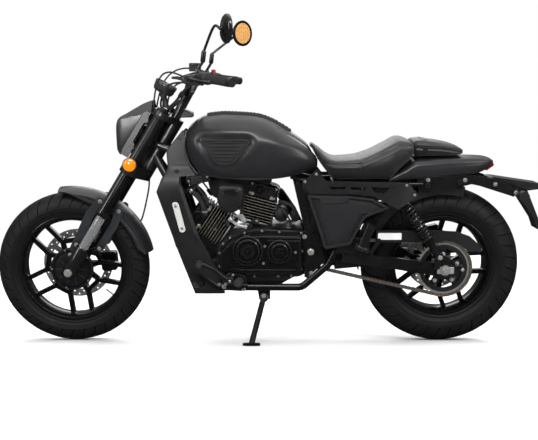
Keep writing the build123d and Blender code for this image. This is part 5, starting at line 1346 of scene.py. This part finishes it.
class MOTO_OT_bars(Operator):
    """Builds the grips, switch housings, levers, reservoir, mirrors and the round gauge"""
    bl_idname = "motorcycle.bars"
    bl_label = "Grips, controls, mirrors and gauge"

    def execute(self, context):
        for side in sides:
            grip = Form(side)
            profile = [(-118.5, 12.9), (-118.5, 20), (-117, 20.9), (-114.5, 20.9), (-113.5, 19.5)]
            count = 16
            for k in range(count):
                at = -112 + 106 * k / count
                size = 16.9 - 0.9 * sin(pi * (k + 0.5) / count)
                profile += [(at, size), (at + 4.2, size), (at + 4.9, size - 1.1), (at + 5.9, size - 1.1)]
            profile += [(-4, 16.6), (-1, 16.9), (-0.5, 15.5), (-0.5, 12.9)]
            grip.turned(bar_end, profile, 28, 0, outward)
            grip.piece("grip", "soft_rubber", "grips", "steering", 35)
            weight = Form(side)
            weight.turned(bar_end, [(-2, 12), (0, 15.4), (2, 16), (14, 16), (17, 15), (18.6, 13),
                                    (18.6, 7.5), (17, 7), (17, 0.1)], axis=outward)
            weight.turned(on_grip(-17), [(-1, 5.8), (1.2, 5.8), (1.4, 3.2), (-0.8, 3), (-0.8, 0.1)], 12, 1,
                          outward)
            weight.piece("bar_end", "powder_coated_steel zinc_plated_steel", body="steering")
            controls = Form(side)
            # the switch housing: two half shells with a joint, and a clamp for the perch
            controls.turned(on_grip(140), [(-21.5, 13), (-21.5, 19), (-18, 21.9), (-1.2, 21.9), (-0.8, 21.2),
                                           (0.8, 21.2), (1.2, 21.9), (18, 21.9), (20.5, 20),
                                           (20.5, 13)], axis=outward)
            controls.turned(on_grip(178), [(-13, 13), (-13, 16.9), (13, 16.9), (13, 13)], 24, 1, outward)
            perch, pivot = on_grip(perch_at), on_grip(perch_at, 40)
            controls.swept([perch + level_ahead * 12, perch + level_ahead * 26, pivot], [12, 11, 10], 14, 1)
            controls.turned(pivot, [(-11, 0.1), (-11, 8), (-9, 9.5), (9, 9.5), (11, 8), (11.5, 4),
                                    (11.5, 0.1)], 20, 1, up)
            blade = smooth_path([on_grip(perch_at, 41), on_grip(150, 53), on_grip(110, 58), on_grip(60, 60),
                                 on_grip(32, 62)])
            controls.swept(blade, [5.6, 5.8] + [5.9] * (len(blade) - 4) + [5, 4.2], 12, 1, 0.8)
            controls.turned(on_grip(31, 62), [(-7, 3), (-5, 6.2), (0, 7.2), (5, 6.2), (7.2, 3)], 16, 1,
                            outward)
            # switches on the housing's rear face and under it
            for inward, above, size in ((128, 6, 4.6), (140, -5, 5.4), (151, 7, 4)):
                controls.turned(on_grip(inward, 0, above) - level_ahead * 19.5, [(0, size + 1.4),
                        (1.4, size + 1.2), (1.6, size), (4.4, size * 0.8), (4.6, 0.1)], 14, 0, -level_ahead)
            if side > 0:
                controls.turned(on_grip(136, 6, 18), [(0, 11), (3, 11), (3.4, 9.6), (14, 9), (16, 7),
                                                      (16.4, 0.1)], 16, 2, up)
                controls.turned(on_grip(122, 4, 18.5), [(0, 6), (3.4, 5.6), (4.2, 0.1)], 14, 2, up)
                # the reservoir and its lid
                controls.slab(rounded([(-273, 1057), (-227, 1057), (-227, 1084), (-273, 1084)], 5, 3),
                              ((2, 184.3), (0, 182.3), (0, 225.7), (2, 223.7)))
                lid = rounded([(-273, 182.3), (-227, 182.3), (-227, 225.7), (-273, 225.7)], 5, 3)
                controls.rings([[(x, y, z) for x, y in inset_outline(lid, inset)]
                                for inset, z in ((0, 1083), (0, 1088), (2.5, 1090.8))], 1)
                for x in (-264, -236):
                    controls.bolt((x, 204, 1090.4), 3.2, 1, 3, up)
                controls.swept([on_grip(perch_at, 2, 12), (-236, 213, 1060)], 8.5, 12, 1)
            controls.piece("controls", "moulded_abs powder_coated_steel red_plastic zinc_plated_steel",
                           "hand_controls", "steering", 38)
        for side in sides:
            *stalk, centre, facing = (Vector(point) for point in mirror_table[side])
            facing.normalize()
            form = Form(side)
            collar, collar_top = Vector((-187, 226, 1090)), Vector((-182, 227, 1128))
            form.turned(on_grip(182), [(14, 9), (24, 9), (26.5, 7.5), (27.2, 6)], 16, 0, up)
            form.swept([on_grip(182, 0, 26.3), collar], 5.6)
            rise, tall = (collar_top - collar).normalized(), (collar_top - collar).length
            form.turned(collar, [(-2, 5), (0, 8.2), (2, 9), (tall - 3, 9), (tall, 7.5),
                                 (tall + 3, 5)], 16, 0, rise)
            back = centre - facing * 10
            form.swept(smooth_path([collar_top, *stalk, back]), 5)
            form.turned(back, [(-2.5, 0.1), (-2.5, 9), (0.5, 13), (1, 30), (4, 43), (9, 49.5), (14, 51.5),
                               (18.6, 51.9), (20, 51), (20, 49.2), (18.6, 48.9)], 48, 0, facing)
            form.turned(back, [(18.4, 49), (18.9, 30), (19.1, 0.1), (17, 0.1), (16.6, 30),
                               (16.6, 49)], 48, 1, facing)
            form.piece("mirror", "gloss_black_plastic mirror_glass", "mirrors", "steering")
        gauge = Form()
        normal = Vector((0.47, 0, 0.88)).normalized()
        face = Vector((-341, 0, 1013))
        for kind, profile in enumerate((
                [(-42, 0.1), (-42, 30), (-39, 37), (-30, 41), (-22, 42), (-20.5, 40.5), (-19, 42.5),
                 (-10, 43.5)],
                [(-10, 42), (-10, 44), (-2, 44), (0, 42.5), (0, 40), (-2.4, 39), (-4, 38)],
                [(-3.2, 39.4), (-2.6, 20), (-2.4, 0.1), (-5, 0.1), (-5, 39)])):
            gauge.turned(face, profile, 48, kind, normal)
        foot, back = on_stem(714) + fork_ahead * 38, face - normal * 40
        gauge.swept([foot, foot.lerp(back, 0.5), back], [9.5, 9.5, 14], 14)
        gauge.piece("round_gauge", "moulded_abs satin_grey_paint gauge_lens", "instrument_gauge", "steering")
        return {"FINISHED"}


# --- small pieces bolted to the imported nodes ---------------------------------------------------
# piece, body, rows of x, distance across, z, head radius, head height
fastener_rows = [
    ("frame_bolts", "chassis", [
        (-48, 135, 236, 5.5, 5), (-122, 135, 247, 8, 6), (-141, 135, 254, 4.2, 4), (207, 143, 383, 11, 5),
        (209, 135, 300, 5, 4), (184, 135, 440, 6, 5), (650, 104, 652, 6, 4), (790, 104, 652, 6, 4),
        (905, 104, 636, 5.5, 4), (985, 104, 604, 6.5, 4)]),
    ("leg_bolts", "steering", [
        (-691, 93, 401, 5.5, 4.5), (-716, 93, 362, 5.5, 4.5), (-603, 93, 386, 5.5, 4.5),
                               (-598, 73.6, 566, 6, 4),
        (-528, 73.6, 528, 6, 4)]),
]


class MOTO_OT_fasteners(Operator):
    """Adds axle nuts, chain adjusters, bolts, the hub cover's slots, the blank plate and small lamps"""
    bl_idname = "motorcycle.fasteners"
    bl_label = "Fasteners and small pieces"

    def execute(self, context):
        for name, body, rows in fastener_rows:
            form = Form()
            for x, y, z, radius, height in rows:
                for _ in form.both():
                    form.turned((x, y - 0.8, z), [(0, radius + 2.6), (1.8, radius + 2.4)], 18)
                    form.bolt((x, y + 0.8, z), radius, height)
            form.piece(name, "zinc_plated_steel", body=body, smooth=30)
        rear = Form()
        x, z = rear_axle.x, rear_axle.z
        rear.turned(rear_axle, [(-136, 9.8), (136, 9.8)], 20, 1)
        for _ in rear.both():
            rear.turned(rear_axle, [(100, 10), (100, 16), (107.7, 16), (107.7, 10)], 24, 1)
            # the nut, its washer and the adjuster block in the arm's slot
            rear.plate([(x - 30, 296), (x + 34, 296), (x + 34, 322), (x - 30, 322)], 131, 134.5, 1)
            rear.turned(rear_axle, [(134, 12), (134, 19), (136.5, 19), (137, 17.5), (137, 15), (147, 15),
                                    (148.5, 13), (148.5, 9), (151.5, 8.4), (152, 7)], 6, 1)
            rear.turned(rear_axle, [(134, 20), (136, 20), (136.4, 19), (136.4, 13)], 32, 1)
            rear.swept([(x + 30, 124, z), (x + 74, 124, z)], 4, 10, 1)
            rear.turned((x + 66, 124, z), [(0, 4), (0, 7.6), (6, 7.6), (6, 4)], 6, 1, (1, 0, 0))
        rear.piece("axle_adjusters", "machined_aluminium zinc_plated_steel", "rear_axle", smooth=30)
        hub = Form()
        hub.turned(front_axle, [(44, 18), (58, 18), (58.6, 20), (58.6, 64), (57.8, 66), (56.8, 68),
                                (56.8, 72), (58, 74), (57.6, 80), (54, 83), (44, 83)], 64,
                   0, -across, closed=True)
        for k in range(10):
            way = Vector((cos(radians(36 * k)), 0, sin(radians(36 * k))))
            hub.swept([front_axle - across * 58.4 + way * reach for reach in (30, 60)], 3.2, 8, 0, 0.5)
            if k % 2:
                hub.bolt(front_axle - across * 57.4 + way * 77, 3.6, 3, 1, -across)
        # the valve stem stands in from the rim
        way = Vector((cos(radians(-38)), 0, sin(radians(-38))))
        hub.turned(front_axle + way * 190, [(-4, 5), (0, 5), (2, 3.2), (26, 3.2), (27, 4), (36, 4),
                                            (37, 0.1)], 12, 1, -way)
        hub.piece("hub_cover", "painted_casting zinc_plated_steel", body="front_wheel", smooth=30)
        ends = Form()
        for _ in ends.both():
            ends.turned(front_axle + across * 125, [(0, 15.5), (3, 15.5)], 28)
            ends.turned(front_axle + across * 128, [(0, 13.5), (3.4, 13.5), (4.6, 12),
                                                    (4.6, 6.5), (3, 6), (3, 0.1)], 6)
        ends.piece("front_axle_nuts", "zinc_plated_steel", body="steering", smooth=30)
        label = Form()
        label.plate(rounded([(465, 449), (465, 423), (555, 423), (555, 449)], 3, 2), -106, -106.6, 0.15)
        label.piece("blank_plate", "blank_vinyl")
        lights = Form()
        for _ in lights.both():
            lights.turned((1004, 118, 594), [(0, 8), (1, 15), (4, 19.4), (14, 20), (15.5, 19), (15.5, 18)],
                          28)
            lights.turned((1004, 118, 594), [(14, 18.2), (17, 18), (24, 15), (30, 8), (32.5, 0.1)], 28, 1)
        lights.piece("rear_indicators", "moulded_abs amber_acrylic")
        return {"FINISHED"}


# --- front fender -----------------------------------------------------------------------------
fender_radius = 316
fender_thick = 3.5
fender_half = 69
fender_from, fender_to = 12, 98
fender_stations = 56


class MOTO_OT_fender(Operator):
    """Builds the front fender with its tapering tip, stepped flanks and rolled lip"""
    bl_idname = "motorcycle.fender"
    bl_label = "Front fender"

    def execute(self, context):
        loops = []
        for share in (k / fender_stations for k in range(fender_stations + 1)):
            turn = radians(fender_from + (fender_to - fender_from) * share)
            # the skirt shrinks towards the tip and its rear corner is rounded
            depth = 44 - 31 * ease(share, 0.70, 1) - 20 * (1 - ease(share, 0, 0.07))
            skirt = fender_radius - depth
            half = fender_half - 9 * ease(share, 0.86, 1) - 3 * (1 - ease(share, 0, 0.06))
            shoulder = max(skirt + 4, fender_radius - 20)
            step = skirt + min(11, depth * 0.28)
            right = [(half - 1, skirt), (half, skirt + 1), (half, step - 1), (half - 1.4, step + 0.6)]
            right += [(half - 1.4 + 1.4 * k / 3, step + 0.6 + (shoulder - step - 0.6) * k / 3)
                      for k in range(1, 4)]
            over = arc((half, shoulder), (0, fender_radius + fender_thick), (-half, shoulder), 16)
            outside = right[:-1] + over + [(-y, r) for y, r in right[::-1]]
            inner_half, inner_shoulder = half - fender_thick, shoulder - fender_thick / 2
            under = arc((-inner_half, inner_shoulder), (0, fender_radius), (inner_half, inner_shoulder), 16)
            inside = [(-inner_half, skirt + 1)] + under + [(inner_half, inner_shoulder),
                    (inner_half, skirt + 1)]
            loops.append([(front_axle.x + r * cos(turn), y, front_axle.z + r * sin(turn))
                          for y, r in outside + inside])
        form = Form()
        form.rings(loops)
        form.piece("fender_shell", "matt_body_paint", "front_fender", "steering", 30)
        return {"FINISHED"}


# --- what fills the spaces between the main pieces ---------------------------------------------
class MOTO_OT_linings(Operator):
    """Adds the coils and hoses behind the shrouds, the liners under the tail and the wiring at the bars"""
    bl_idname = "motorcycle.linings"
    bl_label = "Coils, hoses, liners and wiring"

    def execute(self, context):
        coils_and_hoses()
        tail_liners()
        bar_wiring()
        muffler_shield()
        footrest_parts()
        return {"FINISHED"}


def coils_and_hoses():
    """Coils, leads, hoses and mount plates on both sides, the air box and the starter between them."""
    form = Form()
    for _ in form.both():
        # ignition coil on its bracket under the tank's nose
        form.plate([(-266, 676), (-200, 682), (-172, 664), (-178, 644), (-206, 640), (-238, 622),
                    (-266, 640)], 86, 89, 0.8)
        form.plate(rounded([(-250, 664), (-206, 668), (-200, 642), (-244, 634)], 4, 3), 89, 108, 2.5, 1)
        form.bolts(((-258, 668), (-186, 662), (-256, 646)), 89, 4.2, 3.5, 3)
        # the lead down to the spark plug, with its boot
        form.swept(smooth_path([(-222, 100, 640), (-216, 104, 618), (-196, 98, 592), (-182, 88, 566)]), 3.4,
                   10, 2)
        form.turned((-192, 94, 584), [(-10, 5), (-8, 7.5), (14, 7), (16, 5)], 14, 2, (0.55, -0.15, -0.82))
        # the upper coolant hose with its clips, and the lower one
        hose = smooth_path([(-262, 62, 612), (-238, 70, 600), (-214, 74, 574),
                            (-200, 70, 540), (-196, 58, 512)])
        form.swept(hose, 11, 16, 2)
        for k in (4, len(hose) - 5):
            form.turned(hose[k], [(-4, 11), (-4, 12.4), (4, 12.4), (4, 11)], 20, 3, hose[k + 1] - hose[k])
        form.swept(smooth_path([(-236, 66, 352), (-206, 72, 338), (-178, 76, 330), (-150, 78, 336)]), 11, 16,
                   2)
        # mount plate between the front tubes and the crankcase
        form.plate(rounded([(-236, 470), (-196, 486), (-140, 470), (-120, 420), (-152, 352),
                            (-206, 344)], 12, 3), 52, 58, 1.2)
        form.bolts(((-216, 462), (-160, 456), (-146, 378), (-196, 362)), 58, 5, 4.5, 3)
    # the air box under the tank, with the rims of its lids
    box = rounded([(-186, 652), (-170, 586), (-118, 560), (-60, 572), (36, 600), (62, 652)], 12, 4)
    form.slab(box, ((6, -58), (1, -54), (0, -46), (0, 46), (1, 54), (6, 58)), 1)
    for y in (-47, 44):
        form.slab(box, ((-2.5, y), (-2.5, y + 3)), 1)
    # the starter motor lies across behind the rear cylinder, a breather can beside it
    form.turned((96, 0, 512), [(-66, 0.1), (-66, 9), (-63, 14), (-60, 26), (-56, 28.5), (-30, 28.5),
                               (-29, 27), (52, 27), (53, 28.5), (60, 28.5), (63, 24), (64, 0.1)], 32, 1)
    for y in (-44, 20, 40):
        form.turned((96, y, 512), [(-1.5, 27), (-1.5, 29.6), (1.5, 29.6), (1.5, 27)], 32)
    form.turned((150, 0, 500), [(-54, 0.1), (-54, 13), (-51, 16), (50, 16), (53, 13), (53, 0.1)], 24, 1)
    form.swept(smooth_path([(150, -40, 512), (146, -44, 536), (122, -40, 552), (86, -30, 560)]), 7.5, 14, 2)
    form.swept(smooth_path([(96, -62, 530), (112, -72, 520), (128, -74, 496), (132, -70, 476)]), 4, 10, 2)
    form.piece("coils_and_hoses", "powder_coated_steel moulded_abs soft_rubber zinc_plated_steel")


def tail_liners():
    """Liners under the seats, the battery boxes with their straps and the splash guard."""
    form = Form()
    for _ in form.both():
        form.plate(rounded([(296, 694), (640, 702), (640, 650), (560, 612), (500, 570), (330, 560),
                            (296, 640)], 10, 3), 62, 64, 0.6)
        # the battery box behind the side panel, with its strap
        form.plate(rounded([(172, 644), (262, 648), (348, 600), (340, 420), (240, 388), (196, 410),
                            (180, 540)], 10, 3), 98, 104)
        form.plate([(206, 600), (224, 600), (224, 430), (206, 430)], 104, 106.5, 0.8)
        for x in (330, 410, 490, 570):
            form.plate([(x, 690), (x + 9, 690), (x + 9, 628), (x, 628)], 64, 66.5, 0.8)
    # the splash guard ahead of the rear wheel
    section = ((-74, 323), (-74, 326), (74, 326), (74, 323), (71, 323), (71, 324.5),
               (-71, 324.5), (-71, 323))
    form.rings([[(rear_axle.x + r * cos(turn), y, rear_axle.z + r * sin(turn)) for y, r in section]
                for turn in (radians(126 + 56 * k / 24) for k in range(25))])
    form.piece("tail_liners", "moulded_abs", smooth=35)


def bar_wiring():
    """The looms along the bars, the perch clamps, the gauge's lead and the ignition lock."""
    form = Form()
    for _ in form.both():
        # a loom from the switches down along the bar and into the headlamp
        loom = smooth_path([on_grip(146, 4, -21), on_grip(196, 14, -24), (-262, 170, 985), (-296, 112, 948),
                            (-330, 66, 918), (-352, 48, 884)])
        form.swept(loom, 5.5)
        form.turned(loom[14], [(-13, 5), (-12, 8), (12, 8), (13, 5)], 14, 1, loom[15] - loom[14])
        form.swept(smooth_path([on_grip(168, 20, -16), (-286, 196, 1016), (-324, 140, 1002), (-344, 92, 962),
                                (-352, 66, 922), (-372, 56, 890)]), 3.6, 10)
        # the perch and its clamp at the bar's knee
        form.slab(rounded([(-268, 1040), (-214, 1056), (-196, 1040), (-204, 1014), (-232, 1004),
                           (-262, 1016)], 7, 3), ((3, 195), (0, 198), (0, 224), (3, 227)), 1)
        form.bolts(((-256, 1034), (-214, 1032)), 227, 3.6, 3, 2)
        form.swept([(-262, 214, 1030), (-282, 206, 1034), (-300, 194, 1034)], [7, 6, 4.5])
    form.swept(smooth_path([(-352, 0, 972), (-366, 10, 948), (-368, 20, 918), (-356, 24, 892)]), 4.2, 10)
    # the ignition lock behind the upper yoke
    form.slab(rounded([(-306, 904), (-270, 912), (-244, 902), (-242, 884), (-300, 882)], 5, 3),
              ((3, -38), (0, -35), (0, 35), (3, 38)), 1)
    form.turned((-276, 0, 908), [(-4, 15), (4, 15), (6, 13.5), (6, 8), (4.6, 7.4), (4.6, 0.1)],
                28, 2, (0.2, 0, 0.98))
    form.piece("bar_wiring", "soft_rubber moulded_abs zinc_plated_steel", body="steering")


def muffler_shield():
    """The muffler's heat shield stands off it on four screws."""
    form = Form()
    front, back = Vector((352, 205, 288)), Vector((742, 205, 324.6))
    tall = -across.cross((back - front).normalized()).normalized()
    loops = []
    for k in range(25):
        share = k / 24
        centre = front.lerp(back, share)
        spread = 52 - 14 * (1 - ease(share, 0, 0.12)) - 14 * ease(share, 0.88, 1)
        turns = [radians(-spread + 2 * spread * j / 16) for j in range(17)]
        # every third station stands proud as a rib
        outer = 49.5 if k % 3 else 50.5
        loops.append([centre + across * cos(t) * outer + tall * sin(t) * outer for t in turns]
                     + [centre + across * cos(t) * 48 + tall * sin(t) * 48 for t in turns[::-1]])
    form.rings(loops)
    for share in (0.1, 0.9):
        for turn in (-0.5, 0.5):
            out = across * cos(turn) + tall * sin(turn)
            form.bolt(front.lerp(back, share) + out * 50.2, 4.5, 3.5, 1, out)
    form.piece("muffler_shield", "powder_coated_steel zinc_plated_steel", smooth=35)


def footrest_parts():
    """The forged gear lever, the peg's cast bracket, and the ribbed rubbers of pegs and lever."""
    lever = Form()
    run = smooth_path([(-96, -175, 277), (-124, -177, 292), (-152, -178, 318), (-184, -178, 334),
                       (-212, -178, 345)], 5)
    last = len(run) - 1
    lever.swept(run, [10.5 - 4 * sin(pi * k / last) for k in range(last + 1)], 14, 0, 0.75)
    lever.turned((-98, -164, 278), [(0, 15), (18, 15), (20, 13), (20, 8), (18.5, 7.5), (18.5, 0.1)], 28, 0,
                 -across)
    lever.turned((-212, -168, 345), [(0, 12), (12, 12), (13, 10.5)], 24, 0, -across)
    lever.bolt((-98, -182, 278), 5.5, 4, 1, -across)
    lever.swept([(-96, -170, 264), (-64, -168, 262), (-30, -160, 258)], 3.6, 10)
    lever.slab(rounded([(-132, 262), (-108, 300), (-72, 306), (-40, 286), (-34, 258), (-60, 240),
                        (-112, 238)], 10, 3), ((0, -128), (0, -138), (3, -141), (16, -141), (19, -138.5)))
    for x, z in ((-116, 256), (-52, 272), (-88, 292)):
        lever.bolt((x, -140.5, z), 5.2, 4, 1, -across)
    lever.piece("gear_lever_forging", "painted_casting zinc_plated_steel", smooth=38)
    rubbers = Form()
    start, end = Vector((-62, 148, 269.2)), Vector((-66, 244, 285.8))
    way, reach = (end - start).normalized(), (end - start).length
    profile = [(0, 13), (0, 15.5)]
    for at in (4 + (reach - 12) * k / 9 for k in range(9)):
        profile += [(at, 16.4), (at + 6, 16.4), (at + 7, 14.2), (at + 9, 14.2)]
    for _ in rubbers.both():
        rubbers.turned(start, profile + [(reach, 15), (reach + 3, 13.6), (reach + 3.2, 0.1)], axis=way)
    tip = [(-3, 9), (-3, 11)]
    for at in (k * 6.6 for k in range(5)):
        tip += [(at, 11.6), (at + 4.4, 11.6), (at + 5.2, 10.2), (at + 6.2, 10.2)]
    rubbers.turned((-212, -180, 345), tip + [(33, 11), (35, 9), (35.2, 0.1)], 20, 0, -across)
    pad = rounded([(-231, 160), (-197, 160), (-197, 200), (-231, 200)], 4, 3)
    rubbers.rings([[(x, y, z) for x, y in inset_outline(pad, inset)]
                   for inset, z in ((0, 337), (0, 340), (2, 342))])
    rubbers.piece("footrest_rubbers", "soft_rubber", smooth=35)


# --- stage --------------------------------------------------------------------------------------
floor_half = 30
floor_drop = 0.0005
sun_angle = radians(70)
sun_tilt = (radians(-12), radians(6), 0)
# name, place, target, size in m, share of the softboxes' power
softboxes = [
    ("front_strip", (-2.8, -2.2, 1.7), (-0.4, 0, 0.6), (0.5, 2), 0.34),
    ("rear_strip", (2.9, -2, 1.8), (0.4, 0, 0.6), (0.5, 2), 0.35),
    ("side_softbox", (0.1, -2.9, 3), (0, 0, 0.6), (2.6, 0.7), 1),
    ("far_softbox", (0, 3.2, 2.4), (0, 0, 0.6), (3, 1), 0.3)]


def set_up(name, data, place=(0, 0, 0), turn=(0, 0, 0), target=None):
    """Puts a lamp or camera in the scene, turned by angles or towards a target."""
    holder = bpy.data.objects.new(name, data)
    holder.location = place
    if target:
        turn = (Vector(target) - Vector(place)).to_track_quat("-Z", "Y").to_euler()
    holder.rotation_euler = turn
    bpy.context.scene.collection.objects.link(holder)
    return holder


def new_lamp(name, kind, **settings):
    """A lamp's data with its settings."""
    lamp = bpy.data.lights.new(name, kind)
    for setting, value in settings.items():
        setattr(lamp, setting, value)
    return lamp


class MOTO_OT_stage(Operator):
    """Lays the pale floor and sets the soft lights and the camera"""
    bl_idname = "motorcycle.stage"
    bl_label = "Floor, lights and camera"

    def execute(self, context):
        stage = context.scene.motorcycle_stage
        mesh = bpy.data.meshes.new("studio_floor")
        mesh.from_pydata([(x * floor_half, y * floor_half, -floor_drop) for x, y in ((-1, -1), (1, -1),
                (1, 1), (-1, 1))], [], [(0, 1, 2, 3)])
        mesh.materials.append(floor_material())
        floor = bpy.data.objects.new("studio_floor", mesh)
        context.scene.collection.objects.link(floor)
        floor.visible_glossy = False
        world = bpy.data.worlds.new("pale_surround")
        world.use_nodes = True
        tree = world.node_tree
        # the room glows overhead and is dark at the sides and below; its backdrop is white
        around = add_node(tree, "ShaderNodeTexCoord").outputs["Generated"]
        height = add_node(tree, "ShaderNodeSeparateXYZ", {"Vector": around}).outputs["Z"]
        glow = add_node(tree, "ShaderNodeMapRange",
                        {"Value": height, "From Min": -0.05, "From Max": 1, "To Min": stage.surround * 0.05,
                         "To Max": stage.surround}, interpolation_type="SMOOTHSTEP").outputs["Result"]
        seen = add_node(tree, "ShaderNodeLightPath").outputs["Is Camera Ray"]
        white = add_node(tree, "ShaderNodeMix", {"Factor": seen, "A": glow, "B": 1}, data_type="FLOAT")
        fill(tree.nodes["Background"], {"Strength": white.outputs["Result"], "Color": linear("#FFFFFF")})
        context.scene.world = world
        # a broad light from above, and a stronger one that falls on the floor alone and keeps it pale
        set_up("overhead_sun", new_lamp("overhead_sun", "SUN", energy=stage.overhead,
                                        angle=sun_angle), turn=sun_tilt)
        floor_only = bpy.data.collections.new("floor_only")
        floor_only.objects.link(floor)
        floor_light = set_up("floor_light", new_lamp("floor_light", "SUN", energy=2.6,
                                                     angle=sun_angle), turn=sun_tilt)
        floor_light.light_linking.receiver_collection = floor_only
        for name, place, target, (wide, tall), share in softboxes:
            lamp = new_lamp(name, "AREA", shape="RECTANGLE", size=wide, size_y=tall,
                            energy=stage.key_power * share)
            set_up(name, lamp, place, target=target)
        # a narrow soft spot low beside the camera draws the sheen on the cowl
        spot = new_lamp("cowl_spot", "SPOT", energy=stage.key_power * 12, shadow_soft_size=0.22,
                        spot_size=radians(5.4), spot_blend=1)
        set_up("cowl_spot", spot, (-1.15, -3.35, 0.62), target=parked @ Vector((-0.462, -0.09, 0.872)))
        camera = bpy.data.cameras.new("side_camera")
        camera.lens = stage.lens
        camera.sensor_width = 36
        camera.shift_y = 0.0032
        camera.clip_end = 100
        middle = parked.translation
        context.scene.camera = set_up("side_camera", camera, (middle.x + 0.049, middle.y - 3.54, 0.402),
                                      (radians(91.1), 0, 0))
        context.scene.view_settings.view_transform = "Standard"
        return {"FINISHED"}


class MOTO_PT_panel(Panel):
    """Lists the steps that dress the motorcycle"""
    bl_idname = "MOTO_PT_panel"
    bl_label = "Cruiser motorcycle"
    bl_space_type = "VIEW_3D"
    bl_region_type = "UI"
    bl_category = "Motorcycle"

    def draw(self, context):
        for group, settings in setting_groups.items():
            for name in settings.__annotations__:
                self.layout.prop(getattr(context.scene, group), name)
        for operator in operators:
            self.layout.operator(operator.bl_idname)


operators = (MOTO_OT_node_finishes, MOTO_OT_tank, MOTO_OT_seats, MOTO_OT_tail, MOTO_OT_tyres, MOTO_OT_shocks,
             MOTO_OT_drive, MOTO_OT_front, MOTO_OT_engine_covers, MOTO_OT_cylinders, MOTO_OT_engine_fittings,
             MOTO_OT_shrouds, MOTO_OT_panels, MOTO_OT_bars, MOTO_OT_fasteners, MOTO_OT_fender,
             MOTO_OT_linings,
             MOTO_OT_stage)
setting_groups = {"motorcycle_tyres": TyreSettings, "motorcycle_seats": SeatSettings,
                  "motorcycle_stage": StageSettings}


def register():
    """Registers the classes and the settings they read."""
    for made in (*setting_groups.values(), *operators, MOTO_PT_panel):
        bpy.utils.register_class(made)
    for name, group in setting_groups.items():
        setattr(bpy.types.Scene, name, PointerProperty(type=group))


def unregister():
    """Removes the classes and settings again."""
    for name in setting_groups:
        delattr(bpy.types.Scene, name)
    for made in (MOTO_PT_panel, *operators[::-1], *list(setting_groups.values())[::-1]):
        bpy.utils.unregister_class(made)


def main():
    """Builds every piece in order."""
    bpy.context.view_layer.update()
    register()
    for operator in operators:
        group, call = operator.bl_idname.split(".")
        getattr(getattr(bpy.ops, group), call)()
    bpy.context.view_layer.update()


if __name__ == "__main__":
    main()
